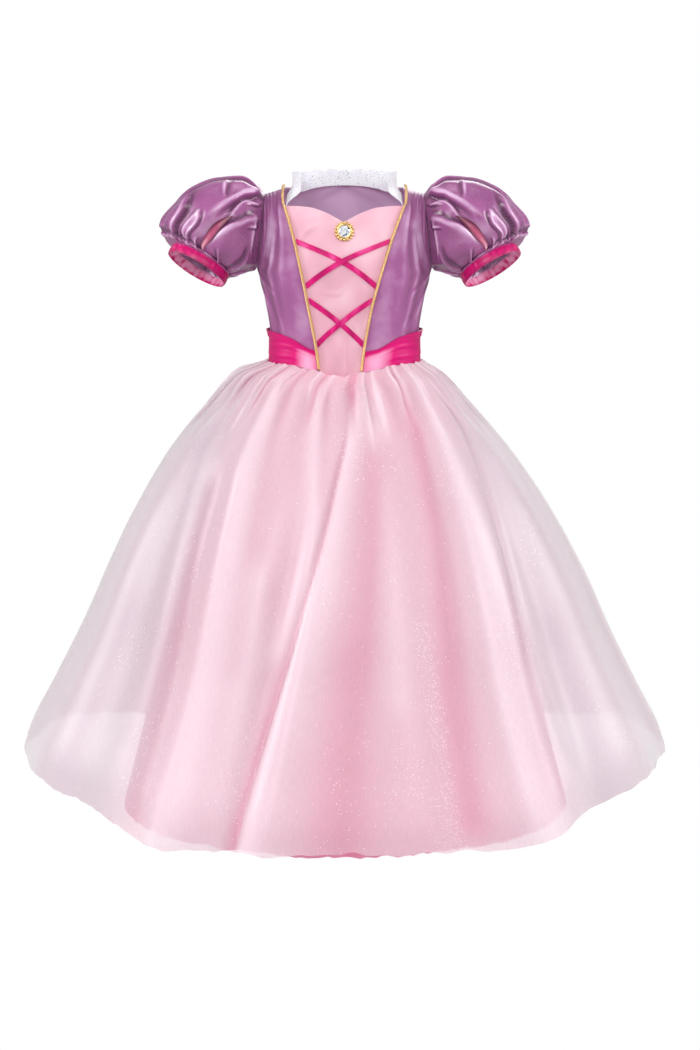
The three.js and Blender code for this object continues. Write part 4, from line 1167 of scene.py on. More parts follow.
class Tree:
    """The nodes of one material, with short ways to add and join them."""

    def __init__(self, name):
        self.material = bpy.data.materials.new(name)
        self.material.use_nodes = True
        self.nodes = self.material.node_tree.nodes
        self.links = self.material.node_tree.links
        self.nodes.clear()
        self.shader = self.add("ShaderNodeBsdfPrincipled")
        output = self.add("ShaderNodeOutputMaterial")
        self.links.new(self.shader.outputs[0], output.inputs[0])

    def add(self, kind, inputs=None, **settings):
        node = self.nodes.new(kind)
        for key, value in settings.items():
            setattr(node, key, value)
        for key, value in (inputs or {}).items():
            self.put(node.inputs[key], value)
        return node

    def put(self, socket, value):
        if isinstance(value, bpy.types.NodeSocket):
            self.links.new(value, socket)
        else:
            socket.default_value = value

    def shade(self, **values):
        for key, value in values.items():
            self.put(self.shader.inputs[key.replace("_", " ")], value)

    def place(self, scale=(1, 1, 1), uv=False):
        if uv:
            source = self.add("ShaderNodeUVMap", uv_map="cloth").outputs[0]
        else:
            source = self.add("ShaderNodeTexCoord").outputs["Object"]
        return self.add("ShaderNodeMapping", {"Vector": source, "Scale": scale}).outputs[0]

    def noise(self, vector, scale, detail=2.0, roughness=0.5):
        inputs = {"Vector": vector, "Scale": scale, "Detail": detail, "Roughness": roughness}
        return self.add("ShaderNodeTexNoise", inputs).outputs[0]

    def cells(self, vector, scale):
        return self.add("ShaderNodeTexVoronoi", {"Vector": vector, "Scale": scale})

    def math(self, operation, first, second=0.0, third=0.0):
        node = self.add("ShaderNodeMath", {0: first, 1: second, 2: third}, operation=operation)
        return node.outputs[0]

    def ramp(self, factor, *stops):
        node = self.add("ShaderNodeValToRGB", {"Fac": factor})
        elements = node.color_ramp.elements
        while len(elements) < len(stops):
            elements.new(0.5)
        for element, (position, value) in zip(elements, stops):
            element.position = position
            element.color = value
        return node.outputs[0]

    def blend(self, factor, first, second):
        node = self.add("ShaderNodeMix", data_type="RGBA")
        self.put(node.inputs["Factor"], factor)
        self.put(node.inputs[6], first)
        self.put(node.inputs[7], second)
        return node.outputs[2]

    def range(self, value, low, high, to_low=0.0, to_high=1.0):
        inputs = {"Value": value, "From Min": low, "From Max": high}
        inputs.update({"To Min": to_low, "To Max": to_high})
        return self.add("ShaderNodeMapRange", inputs).outputs[0]

    def attribute(self, name):
        return self.add("ShaderNodeAttribute", attribute_name=name).outputs["Fac"]

    def bump(self, height, strength, distance, normal=None):
        inputs = {"Height": height, "Strength": strength, "Distance": distance}
        if normal is not None:
            inputs["Normal"] = normal
        return self.add("ShaderNodeBump", inputs).outputs[0]


def satin(name, deep, base, light, roughness=0.34, sheen=0.2, shine=0.5):
    """Satin: a tight weave with a broad soft shine and slightly uneven colour."""
    tree = Tree(name)
    tone = tree.attribute("tone")
    drift = tree.noise(tree.place(), 28.0, 3.0)
    level = tree.math("ADD", tone, tree.range(drift, 0.3, 0.7, -0.12, 0.12))
    # The tone runs the colour from deep to light: besides the drift's random tone, the deep colour is
    # painted shade and the light one painted highlight
    shade = tree.ramp(level, (0.0, deep), (0.5, base), (1.0, light))
    weave = tree.add(
        "ShaderNodeTexWave",
        {"Vector": tree.place(uv=True), "Scale": 620.0, "Distortion": 1.5, "Detail": 2.0},
        bands_direction="Y",
    ).outputs["Fac"]
    threads = tree.noise(tree.place((260, 2600, 1), uv=True), 1.0, 3.0, 0.6)
    normal = tree.bump(weave, 0.06, 0.0002)
    normal = tree.bump(threads, 0.05, 0.0006, normal)
    gloss = tree.range(threads, 0.2, 0.8, roughness - 0.05, roughness + 0.07)
    tree.shade(Base_Color=shade, Roughness=gloss, Normal=normal)
    tree.shade(Sheen_Weight=sheen, Sheen_Roughness=0.4, Specular_IOR_Level=shine)
    tree.shader.inputs["Sheen Tint"].default_value = light
    return tree.material


# Streak of glitter and greyer side zones of the overskirt, in metres on the part's axes
STREAK = {"slope": 0.155, "start": 0.0145, "reach": (0.004, 0.016), "share": 0.5, "low": (-0.54, -0.48)}
SIDE_ZONE = {"slope": 0.31, "reach": (0.02, 0.085), "drift": 0.015, "cover": 0.16}
# Facing values over which the rim's painted sheen grows, and its strength
PAINTED_RIM_SHEEN = (0.5, 0.95, 0, 0.85)
COVER_RANGE = 0.16


def sparkle(tree, scale, size, few, many, streak=False):
    """Mask of small glitter flakes, few or many from place to place, and a value for each flake.

    A streak of denser glitter runs down the skirt a little to the wearer's left.
    """
    flakes = tree.cells(tree.place(), scale)
    parts = tree.add("ShaderNodeSeparateColor", {"Color": flakes.outputs["Color"]})
    near = tree.math("LESS_THAN", flakes.outputs["Distance"], size)
    drift = tree.noise(tree.place((1, 1, 0.35)), 14.0, 3.0)
    dense = tree.range(drift, 0.56, 0.7, few, many)
    if streak:
        x, _, z = tree.add("ShaderNodeSeparateXYZ", {"Vector": tree.place()}).outputs
        beside = tree.math("MULTIPLY_ADD", z, STREAK["slope"], x)
        beside = tree.math("ABSOLUTE", tree.math("SUBTRACT", beside, STREAK["start"]))
        core = tree.range(beside, *STREAK["reach"], STREAK["share"], 0)
        low = tree.range(z, *STREAK["low"], 1, 0)
        dense = tree.math("MULTIPLY_ADD", core, low, dense)
    chosen = tree.math("LESS_THAN", parts.outputs[0], dense)
    return tree.math("MULTIPLY", near, chosen), parts.outputs[1]


def organza(name, tint, cover):
    """Sheer organza: denser on its folds, its ridges painted lighter and its valleys painted in deeper
    pink shade, with a painted sheen toward its rims and fine glitter in drifts.
    """
    tree = Tree(name)
    tone = tree.attribute("tone")
    mask, value = sparkle(tree, 640.0, 0.3, 0.01, 0.2, streak=True)
    clouds = tree.noise(tree.place((1, 1, 0.5)), 7.0, 3.0)
    level = tree.math("ADD", tone, tree.range(clouds, 0.3, 0.7, -0.06, 0.06))
    # By the tone: deep pink as painted shade in valleys, near white as painted highlight on ridges
    pink = tree.ramp(level, (0.1, colour(234, 186, 204)), (0.5, tint), (0.9, colour(250, 228, 238)))
    deep, middle, light = colour(204, 183, 195), colour(214, 194, 205), colour(224, 206, 216)
    grey = tree.ramp(level, (0.2, deep), (0.5, middle), (0.8, light))
    x, _, z = tree.add("ShaderNodeSeparateXYZ", {"Vector": tree.place()}).outputs
    beyond = tree.math("MULTIPLY_ADD", z, SIDE_ZONE["slope"], tree.math("ABSOLUTE", x))
    drift = tree.range(clouds, 0.3, 0.7, -SIDE_ZONE["drift"], SIDE_ZONE["drift"])
    sides = tree.range(tree.math("ADD", beyond, drift), *SIDE_ZONE["reach"])
    tinted = tree.blend(sides, pink, grey)
    # Painted sheen: the colour turns near white where the cloth is seen edge on
    facing = tree.add("ShaderNodeLayerWeight", {"Blend": 0.5}).outputs["Facing"]
    rim = tree.range(facing, *PAINTED_RIM_SHEEN)
    tinted = tree.blend(rim, tinted, colour(252, 240, 246))
    bright = tree.blend(value, colour(240, 205, 226), (1, 1, 1, 1))
    threads = tree.noise(tree.place((700, 90, 1), uv=True), 1.0, 2.0)
    alpha = tree.range(level, 0.0, 1.0, cover - COVER_RANGE, cover + COVER_RANGE)
    alpha = tree.math("ADD", alpha, tree.range(threads, 0.25, 0.75, -0.03, 0.03))
    alpha = tree.math("MULTIPLY_ADD", sides, SIDE_ZONE["cover"], alpha)
    alpha = tree.math("MAXIMUM", alpha, tree.math("MULTIPLY", mask, 0.9))
    normal = tree.bump(threads, 0.1, 0.0005)
    tree.shade(Base_Color=tree.blend(mask, tinted, bright), Alpha=alpha, Normal=normal)
    tree.shade(Roughness=0.36, Sheen_Weight=1.0, Sheen_Roughness=0.5, Specular_IOR_Level=0.5)
    return tree.material


def glitter_net(name):
    """White mesh closely covered with silver glitter."""
    tree = Tree(name)
    mask, value = sparkle(tree, 560.0, 0.42, 0.6, 1.0)
    ground = colour(238, 238, 245)
    dark, silver = colour(120, 122, 140), colour(222, 222, 232)
    flake = tree.ramp(value, (0.0, dark), (0.3, silver), (1.0, (1, 1, 1, 1)))
    fuzz = tree.noise(tree.place(), 600.0, 3.0, 0.7)
    tree.shade(
        Base_Color=tree.blend(mask, ground, flake),
        Roughness=tree.range(mask, 0, 1, 0.7, 0.3),
        Normal=tree.bump(fuzz, 0.7, 0.0012),
    )
    tree.shade(Sheen_Weight=0.4, Sheen_Roughness=0.5)
    return tree.material


def gold(name, base, roughness, metallic):
    tree = Tree(name)
    wear = tree.noise(tree.place(), 900.0, 3.0)
    shade = tree.blend(tree.range(wear, 0.35, 0.7), base, colour(240, 212, 160))
    tree.shade(
        Base_Color=shade,
        Roughness=tree.range(wear, 0.3, 0.7, roughness - 0.06, roughness + 0.1),
        Normal=tree.bump(wear, 0.12, 0.0003),
        Metallic=metallic,
    )
    return tree.material


def crystal(name):
    """Clear cut stone with a silvered back, each facet coloured from dark to white as a painted
    reflection.
    """
    tree = Tree(name)
    facet = tree.attribute("facet")
    shade = tree.ramp(
        facet,
        (0.0, colour(40, 44, 66)),
        (0.3, colour(120, 150, 190)),
        (0.6, colour(214, 224, 236)),
        (1.0, (1, 1, 1, 1)),
    )
    tree.shade(Base_Color=shade, Roughness=0.05, Metallic=0.35, Coat_Weight=1.0, IOR=1.5)
    return tree.material


def finish(piece, node, material):
    """Gives a finished piece its material, body, replaced node and slot."""
    piece.data.materials.clear()
    piece.data.materials.append(material)
    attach(piece, BODY)
    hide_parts(node)


def lay(kind, side, material, point, columns, rows, **given):
    """Makes one piece of cloth, with the wall that its row of the table gives."""
    slot, wall, flat, area, held, rests_on = CLOTHS[kind]
    node = f"{kind}_{side}" if side else kind
    piece = cloth(f"{node}_cloth", point, columns, rows, wall, **given)
    finish(piece, node, material)


def on_side(sign, point):
    """The same surface on the wearer's left, or mirrored to the right."""
    return lambda column, row: mirrored(sign, point(column, row))


SIDES = (("left", 1), ("right", -1))


def spread(breaks, counts):
    """Evenly spread stops between breakpoints."""
    stops = [np.linspace(a, b, n + 1)[:-1] for a, b, n in zip(breaks, breaks[1:], counts)]
    return np.concatenate([*stops, breaks[-1:]])


# Sizes and colours that a user would change
def number(label, description, default, low, high, **more):
    return bpy.props.FloatProperty(
        name=label, description=description, default=default, min=low, max=high, **more
    )


def shade_property(label, description, red, green, blue):
    return bpy.props.FloatVectorProperty(
        name=label,
        description=description,
        default=colour(red, green, blue),
        size=4,
        min=0,
        max=1,
        subtype="COLOR",
    )


class DressSizes(bpy.types.PropertyGroup):
    """Sizes of the finer forms."""

    crease: number("Creases", "Depth of the creases, as a share", 1.0, 0, 2, subtype="FACTOR")
    cord_pitch: number(
        "Cord twist", "Length of one turn of the gold cord", 0.0075, 0.003, 0.02, unit="LENGTH"
    )
    hem_wear: number("Raw hem", "Unevenness of the raw hems", 0.0016, 0, 0.005, unit="LENGTH")
    organza_cover: number(
        "Organza cover", "Share of light that one face stops", 0.5, 0.05, 1, subtype="FACTOR"
    )


class DressColours(bpy.types.PropertyGroup):
    """Colours of the cloths and trims."""

    purple: shade_property("Purple", "Satin of the bodice and sleeves", 160, 90, 144)
    # Lilac is the purple satin's painted highlight, and the colour of its inside, which is painted
    # lighter
    lilac: shade_property("Lilac", "Highlights and inside of the purple satin", 224, 186, 222)
    rose: shade_property("Rose", "Highlights of the hot pink satin", 248, 172, 208)
    pale: shade_property("Pale pink", "Satin of the insert and slashes", 233, 174, 192)
    hot: shade_property("Hot pink", "Satin of the belt, cuffs and ribbons", 216, 14, 116)
    skirt: shade_property("Skirt pink", "Satin of the underskirt", 248, 154, 186)
    organza: shade_property("Organza", "Sheer cloth of the overskirt", 240, 209, 222)
    gold: shade_property("Gold", "Cord and brooch", 216, 168, 100)


def sizes():
    return bpy.context.scene.dress_sizes


def colours():
    return bpy.context.scene.dress_colours


def darker(shade, amount):
    return tuple(value * (1 - amount) for value in shade[:3]) + (1.0,)


# Satin whose tone ramp runs from a darker copy of its colour, as painted shade, to a highlight colour,
# as painted highlight
def shaded_satin(name, shade, depth, highlight, **more):
    return satin(name, darker(shade, depth), tuple(shade), tuple(highlight), **more)


class DRESS_OT_bodice(bpy.types.Operator):
    """Make the front insert and the four bodice panels."""

    bl_idname = "dress.bodice"
    bl_label = "Insert and bodice"

    def execute(self, context):
        crease = sizes().crease
        purple = shaded_satin("purple_satin", colours().purple, 0.35, colours().lilac)
        pale = shaded_satin("pale_satin", colours().pale, 0.15, colour(246, 202, 215), roughness=0.42)

        def insert_relief(across, share):
            laid = laid_creases(INSERT_CREASES, across, share, INSERT_SPAN)[0]
            return crease * (laid + INSERT_RIPPLE * waves("insert", across, share, INSERT_SPAN))

        def insert_tone(across, share):
            light = laid_creases(INSERT_CREASES, across, share, INSERT_SPAN)[1]
            cloud = waves("insert_tone", across, share, INSERT_SPAN)
            # The insert's painted highlight grows toward its top
            fading = (share - 1) * painted_highlights_at(INSERT_LOOK["painted_highlights"], across, share)
            return np.clip(lit(INSERT_LOOK, across, share, light, cloud) + fading, 0, 1)

        lay(
            "front_insert",
            None,
            pale,
            insert_point,
            np.linspace(-1, 1, 65),
            np.linspace(0, 1, 91),
            relief=insert_relief,
            tone=insert_tone,
        )
        # The last number adds to the inner face's tone: partly a paler lining, partly painted light
        # where the inside lies in shade
        panels = (
            ("front", FRONT_CREASES, spread([0, UNDERARM_SHARE, CORNER_SHARE, 1], [44, 28, 24]), 0.2),
            ("back", BACK_CREASES, spread([0, UNDERARM_SHARE, BACK_NECK_SHARE, 1], [44, 22, 30]), 0.85),
        )
        for (face, creases, rows, inside), (side, sign) in itertools.product(panels, SIDES):

            def point(across, share, face=face, sign=sign):
                if face == "front":
                    return front_panel_point(sign, across, share)
                return back_panel_point(across, share)

            def relief(across, share, creases=creases, sign=sign):
                laid = laid_creases(creases, across, share, BODICE_SPAN)[0]
                soft = BODICE_RIPPLE * waves("bodice", across, share, BODICE_SPAN, sign)
                strap = smooth_step(STRAP_START, share)
                return crease * off_ends(across, 0.08, 0.05) * (laid + (1 - strap) * soft)

            def tone(across, share, creases=creases):
                light = laid_creases(creases, across, share, BODICE_SPAN)[1]
                cloud = waves("bodice_tone", across, share, BODICE_SPAN)
                # Painted shade, deepening toward the panel's side
                sides = BODICE_LOOK["side"] * smooth_step(BODICE_SIDE_SHADE, across)
                return np.clip(lit(BODICE_LOOK, across, share, light, cloud) - sides, 0, 1)

            lay(
                f"bodice_{face}",
                side,
                purple,
                on_side(sign, point),
                np.linspace(0, 1, 61),
                rows,
                flipped=(sign < 0) == (face == "front"),
                centred=face == "back",
                relief=relief,
                tone=tone,
                inside=inside,
            )
        return {"FINISHED"}


class DRESS_OT_sleeves(bpy.types.Operator):
    """Make the puff sleeves, their slashes and their cuffs."""

    bl_idname = "dress.sleeves"
    bl_label = "Sleeves and cuffs"

    def execute(self, context):
        crease = sizes().crease
        purple = shaded_satin(
            "sleeve_satin", colours().purple, 0.62, colour(232, 194, 228), roughness=0.27, shine=0.5
        )
        # The slash satin's deep red is painted shade inside the slit, its pale pink the lit cloth
        # toward the cuff
        pale = satin("slash_satin", colour(96, 22, 56), colour(190, 84, 122), colour(248, 206, 216))
        hot = shaded_satin("cuff_satin", colours().hot, 0.4, colours().rose, sheen=0.05, shine=0.4)
        turns = np.linspace(0, FULL_TURN, 289)
        alongs = spread([0, 0.1, 0.9, 1], [16, 84, 18])

        def creases(turn, along):
            return laid_creases(SLEEVE_CREASES, turn / DEGREE, along, SLEEVE_SPAN, turning=True)

        def relief(turn, along):
            slash = turn_between(mix(SLASH["cap"], SLASH["cuff"], along), turn / DEGREE)
            clear = off_ends(along, 0.1, 0.06) * smooth_step(SLASH_CLEAR, np.abs(slash))
            return crease * clear * creases(turn, along)[0]

        def tone(turn, along):
            light = creases(turn, along)[1]
            round_reach, down_reach = SLEEVE_ROUND
            down = np.sin(turn) * round_reach + along * down_reach
            cloud = waves("sleeve_tone", np.cos(turn) * round_reach, down)
            return np.clip(lit(SLEEVE_LOOK, turn / DEGREE, along, light, cloud, turning=True), 0, 1)

        # Painted shade of the slash: dark at its top and its edges, light toward the cuff
        def slash_painted_shading(across, share):
            rise = SLASH_PAINTED_SHADING["rise"] * share ** SLASH_PAINTED_SHADING["bend"]
            return SLASH_PAINTED_SHADING["base"] + rise - SLASH_PAINTED_SHADING["edges"] * across**2

        def cuff_relief(turn, share):
            return CUFF_BULGE * np.sin(np.pi * np.clip(share, 0, 1))

        # Darker toward the cuff's outer edge; its short waves of tone paint the light and shade of
        # small gathers
        def cuff_tone(turn, share):
            gathered = CUFF_LOOK["cloud"] * waves("cuff_tone", turn, share, CUFF_SPAN)
            return CUFF_LOOK["base"] - CUFF_LOOK["rim"] * smooth_step((0.5, 1), share) + gathered

        for side, sign in SIDES:
            # inside lightens the inner faces of sleeves and cuffs: partly a paler lining, partly
            # painted light where they lie in shade
            around = {"wrapped": True, "flipped": sign < 0, "inside": 0.5}
            shape = on_side(sign, sleeve_point)
            lay("sleeve", side, purple, shape, turns, alongs, relief=relief, tone=tone, **around)
            lay(
                "sleeve_slash",
                side,
                pale,
                lambda across, share, sign=sign: slash_point(sign, across, share),
                np.linspace(-1, 1, 13),
                np.linspace(0, 1, 61),
                flipped=sign < 0,
                tone=slash_painted_shading,
            )
            shape, shares = on_side(sign, cuff_point), np.linspace(-0.28, 1, 12)
            lay("cuff", side, hot, shape, turns, shares, relief=cuff_relief, tone=cuff_tone, **around)
        return {"FINISHED"}


class DRESS_OT_belt(bpy.types.Operator):
    """Make both halves of the belt."""

    bl_idname = "dress.belt"
    bl_label = "Belt"

    def execute(self, context):
        crease = sizes().crease
        hot = shaded_satin(
            "belt_satin", colours().hot, 0.3, colours().rose, roughness=0.36, sheen=0.0, shine=0.22
        )

        def relief(column, share):
            ends = off_ends(share, 0.15, 0.12) * off_ends(column, 0.08, 0.05, 2)
            return crease * ends * laid_creases(BELT_CREASES, column, share, BELT_SPAN)[0]

        def tone(column, share):
            light = laid_creases(BELT_CREASES, column, share, BELT_SPAN)[1]
            # Painted highlight near the piping, fading toward the belt's top
            belt_highlight = painted_highlights_at(BELT_HIGHLIGHT, column, share) * smooth_step((0, 0.4), 1 - share)
            return np.clip(lit(BELT_LOOK, column, share, light) + belt_highlight, 0, 1)

        for side, sign in SIDES:
            lay(
                "belt",
                side,
                hot,
                lambda column, share, sign=sign: mirrored(sign, belt_point(sign, column, share)),
                spread([0, 1, 2], [64, 64]),
                np.linspace(0, 1, 21),
                flipped=sign < 0,
                relief=relief,
                tone=tone,
            )
        return {"FINISHED"}


def frayed_collar(column, share):
    """The collar with the uneven raw edge of its mesh."""
    place = collar_point(column, share)
    fray = COLLAR_FRAY * waves("collar", column, share, COLLAR_SPAN)
    place[..., 2] += fray * smooth_step((0.8, 1), share) * smooth_step((0, 0.04), column)
    return place


class DRESS_OT_collar(bpy.types.Operator):
    """Make both halves of the standing collar."""

    bl_idname = "dress.collar"
    bl_label = "Collar"

    def execute(self, context):
        net = glitter_net("collar_net")
        columns, rows = spread([0, 1, 2], [72, 48]), np.linspace(0, 1, 19)
        for side, sign in SIDES:
            shape = on_side(sign, frayed_collar)
            lay("collar", side, net, shape, columns, rows, flipped=sign > 0, centred=True)
        return {"FINISHED"}


class DRESS_OT_piping(bpy.types.Operator):
    """Make the twisted gold cords on the seams of the insert and the neck."""

    bl_idname = "dress.piping"
    bl_label = "Gold piping"

    def execute(self, context):
        cord = gold("gold_cord", tuple(colours().gold), 0.38, 0.7)
        share = np.linspace(0, 1, CORD["places"])
        for side, sign in SIDES:
            centre, outward = piping_centre(sign, share)
            forward = unit(np.gradient(centre, axis=0))
            aside = unit(np.cross(forward, outward))
            outward = np.cross(aside, forward)
            steps = np.linalg.norm(np.diff(centre, axis=0), axis=-1)
            travel = np.concatenate([[0], np.cumsum(steps)])
            strands = []
            for strand in range(CORD["strands"]):
                turn = FULL_TURN * (travel * MM / sizes().cord_pitch + strand / CORD["strands"])
                offset = aside * np.cos(turn)[:, None] + outward * np.sin(turn)[:, None]
                strands.append(centre + offset * CORD["off"])
            piece = tubes(f"piping_{side}_cord", strands, CORD["radius"], CORD["sides"])
            finish(piece, f"piping_{side}", cord)
        return {"FINISHED"}


class DRESS_OT_ribbons(bpy.types.Operator):
    """Make the four crossed ribbons."""

    bl_idname = "dress.ribbons"
    bl_label = "Ribbons"

    def execute(self, context):
        hot = shaded_satin(
            "ribbon_satin", colours().hot, 0.4, colour(246, 96, 172), sheen=0.05, shine=0.3
        )
        crease = sizes().crease
        for index, name in enumerate(RIBBONS):
            kind, side = f"ribbon_{name}".rsplit("_", 1)
            sign = 1 if side == "right" else -1

            def relief(along, across, index=index):
                clear = off_ends(along, 0.05, 0.05) * smooth_step(RIBBON_CLEAR, np.abs(along - 0.5))
                soft = RIBBON_RIPPLE * waves("ribbon", along, across, RIBBON_SPAN, index)
                return crease * clear * np.maximum(0, soft)

            def tone(along, across, index=index):
                cloud = waves("ribbon_tone", along, across, RIBBON_SPAN, index)
                return RIBBON_LOOK["base"] + RIBBON_LOOK["cloud"] * cloud

            lay(
                kind,
                side,
                hot,
                lambda along, across, name=name, sign=sign: ribbon_point(name, sign, along, across),
                np.linspace(0, 1, 121),
                np.linspace(-1, 1, 9),
                flipped=sign < 0,
                relief=relief,
                tone=tone,
            )
        return {"FINISHED"}


class DRESS_OT_brooch(bpy.types.Operator):
    """Make the scalloped gold setting and its cut stone."""

    bl_idname = "dress.brooch"
    bl_label = "Brooch"

    def execute(self, context):
        here = on_torso("front", 0.0, float(BROOCH_HEIGHT))
        middle = (np.array(0.0), np.array(BROOCH_HEIGHT))
        normal = surface_normal(lambda x, h: on_torso("front", x, h), *middle)
        turn = Vector((0, 0, 1)).rotation_difference(Vector(normal)).to_matrix().to_4x4()
        turn.translation = Vector((here + normal * LAY_GAP) * MM)
        metal = gold("gold_metal", tuple(colours().gold), 0.24, 0.9)
        setting = brooch_setting()
        setting.data.transform(turn)
        finish(setting, "brooch_setting", metal)
        stone = brooch_stone()
        stone.data.transform(turn)
        finish(stone, "brooch_stone", crystal("crystal"))
        return {"FINISHED"}


def edit(piece):
    """Starts edit mode on one piece with nothing selected."""
    bpy.ops.object.select_all(action="DESELECT")
    bpy.context.view_layer.objects.active = piece
    piece.select_set(True)
    bpy.ops.object.mode_set(mode="EDIT")
    bpy.ops.mesh.select_mode(type="FACE")
    bpy.ops.mesh.select_all(action="DESELECT")


def leave_edit():
    bpy.ops.object.mode_set(mode="OBJECT")


def pick_top(piece):
    """Selects the faces that look straight up."""
    leave_edit()
    for face in piece.data.polygons:
        face.select = face.normal.z > 0.9
    bpy.ops.object.mode_set(mode="EDIT")


def settle():
    """Applies the place, turn and size of the selected pieces."""
    bpy.ops.object.transform_apply(location=True, rotation=True, scale=True)


def disc(vertices, radius, depth, middle):
    """A round disc, its sizes in millimetres."""
    bpy.ops.object.select_all(action="DESELECT")
    bpy.ops.mesh.primitive_cylinder_add(
        vertices=vertices, radius=radius * MM, depth=depth * MM, location=(0, 0, middle * MM)
    )
    settle()
    return bpy.context.object


def brooch_setting():
    """A round gold dish with a raised lip, ringed by small domed petals."""
    rim = BROOCH_RADIUS - DISH["inset"]
    well = STONE_RADIUS + SEAM_GAP
    dish = disc(64, rim, DISH["height"], DISH["height"] / 2)
    edit(dish)
    pick_top(dish)
    for inset, rise in ((DISH["lip"], DISH["lip_height"]), (rim - DISH["lip"] - well, -DISH["well"])):
        bpy.ops.mesh.inset(thickness=inset * MM)
        bpy.ops.mesh.extrude_region_move(TRANSFORM_OT_translate={"value": (0, 0, rise * MM)})
    leave_edit()
    bevel = dish.modifiers.new("soft edges", "BEVEL")
    bevel.width, bevel.segments, bevel.limit_method = DISH["bevel"] * MM, 2, "ANGLE"
    bpy.ops.object.modifier_apply(modifier=bevel.name)

    bpy.ops.object.select_all(action="DESELECT")
    bpy.ops.mesh.primitive_uv_sphere_add(segments=18, ring_count=12, radius=1)
    petal = bpy.context.object
    petal.scale = [value * MM for value in PETAL["size"]]
    petal.location = ((BROOCH_RADIUS - PETAL["inset"]) * MM, 0, PETAL["height"] * MM)
    settle()
    edit(petal)
    bpy.ops.mesh.select_all(action="SELECT")
    bpy.ops.mesh.bisect(
        plane_co=(0, 0, PETAL["cut"] * MM), plane_no=(0, 0, 1), clear_inner=True, use_fill=True
    )
    leave_edit()
    petals = [petal]
    for index in range(1, SCALLOPS):
        copy = petal.copy()
        copy.data = petal.data.copy()
        bpy.context.scene.collection.objects.link(copy)
        copy.rotation_euler = (0, 0, FULL_TURN * index / SCALLOPS)
        petals.append(copy)
    bpy.ops.object.select_all(action="DESELECT")
    for piece in petals + [dish]:
        piece.select_set(True)
    bpy.context.view_layer.objects.active = dish
    settle()
    bpy.ops.object.join()
    bpy.ops.object.shade_smooth_by_angle(angle=0.7)
    dish.name = dish.data.name = "brooch_setting_metal"
    return dish


def brooch_stone():
    """A cut stone: a flat table, a ring of slanted facets and a short girdle."""
    stone = disc(16, STONE_RADIUS, STONE["girdle"], STONE["middle"])
    edit(stone)
    pick_top(stone)
    for inset, rise in ((STONE["facet"], STONE["slope"]), (STONE["crown"], STONE["rise"])):
        bpy.ops.mesh.inset(thickness=inset * MM)
        bpy.ops.transform.translate(value=(0, 0, rise * MM))
    bpy.ops.mesh.select_all(action="SELECT")
    bpy.ops.mesh.quads_convert_to_tris(quad_method="FIXED", ngon_method="BEAUTY")
    leave_edit()
    stone.name = stone.data.name = "brooch_stone_cut"
    painted_reflections, shares = FACET_PAINTED_REFLECTIONS
    draw = np.random.default_rng(FACET_SEED)
    # Each facet takes one painted reflection, from dark to white
    values = draw.choice(painted_reflections, len(stone.data.polygons), p=shares).astype(np.float32)
    attribute = stone.data.attributes.new("facet", "FLOAT", "FACE")
    attribute.data.foreach_set("value", values)
    return stone


class DRESS_OT_skirts(bpy.types.Operator):
    """Make the satin underskirt and the organza overskirt."""

    bl_idname = "dress.skirts"
    bl_label = "Skirts"

    def execute(self, context):
        crease = sizes().crease
        wear = sizes().hem_wear / MM
        pink, light = colours().skirt, colour(255, 214, 226)
        under = shaded_satin("skirt_satin", pink, 0.16, light, roughness=0.4)
        sheer = organza("glitter_organza", tuple(colours().organza), sizes().organza_cover)
        layers = (
            ("skirt_under", UNDER, 288, [10, 20, 50], under, 0.45),
            ("skirt_over", OVER, 432, [12, 26, 60], sheer, 1.0),
        )
        for index, (name, layer, around, counts, material, share) in enumerate(layers):

            def point(turn, drop, layer=layer, index=index):
                place = skirt_point(layer, turn, drop)
                ragged = waves("hem", np.cos(turn), np.sin(turn), (HEM_ROUND, HEM_ROUND), index)
                place[..., 2] += smooth_step(RAGGED_HEM, drop) * wear * ragged
                if layer is OVER:
                    uneven = waves("waist", turn, 0 * turn, (WAIST_ROUND, 1))
                    fading = 1 - smooth_step(WAIST_SEAM_END, drop)
                    place[..., 2] += fading * (WAIST_SEAM[0] + WAIST_SEAM[1] * uneven)
                return place

            def relief(turn, drop, share=share, index=index):
                grown = smooth_step(BAND_START, drop)
                radius, down_share = SKIRT_ROUND
                down = np.sin(turn) * radius + drop * down_share
                soft = SKIRT_RIPPLE * waves("skirt", np.cos(turn) * radius, down, more=index)
                bands = BAND_HEIGHT * skirt_bands(SKIRT_BANDS, turn / DEGREE, drop)
                tucks = TUCK_HEIGHT * skirt_bands(TUCKS, turn / DEGREE, drop)
                tucks = smooth_step(TUCK_START, drop) * tucks
                return crease * share * (grown * (soft + bands) + tucks)

            def tone(turn, drop, layer=layer, share=share):
                # Painted highlight on the ridges and painted shade in the valleys of folds, gathers,
                # bands and tucks; on the organza the tone also sets how dense it is
                down = drop / SKIRT_LENGTH
                folds = fold_relief(layer["folds"], turn / DEGREE, down)
                folds = SKIRT_LOOK["folds"] * folds * smooth_step((0.02, 0.5), down)
                gathered = SKIRT_LOOK["gathers"] * gather_relief(layer["gathers"], turn, drop)
                bands = SKIRT_LOOK["bands"] * skirt_bands(SKIRT_BANDS, turn / DEGREE, drop)
                tucks = SKIRT_LOOK["tucks"] * skirt_bands(TUCKS, turn / DEGREE, drop)
                light = folds + gathered + share * (bands + tucks)
                return np.clip(SKIRT_LOOK["base"] + light, 0, 1)

            turns = np.linspace(0, FULL_TURN, around + 1)
            drops = spread([0, 30, 140, SKIRT_LENGTH], counts)
            looks = {"wrapped": True, "flipped": True, "relief": relief, "tone": tone}
            lay(name, None, material, point, turns, drops, **looks)
        return {"FINISHED"}


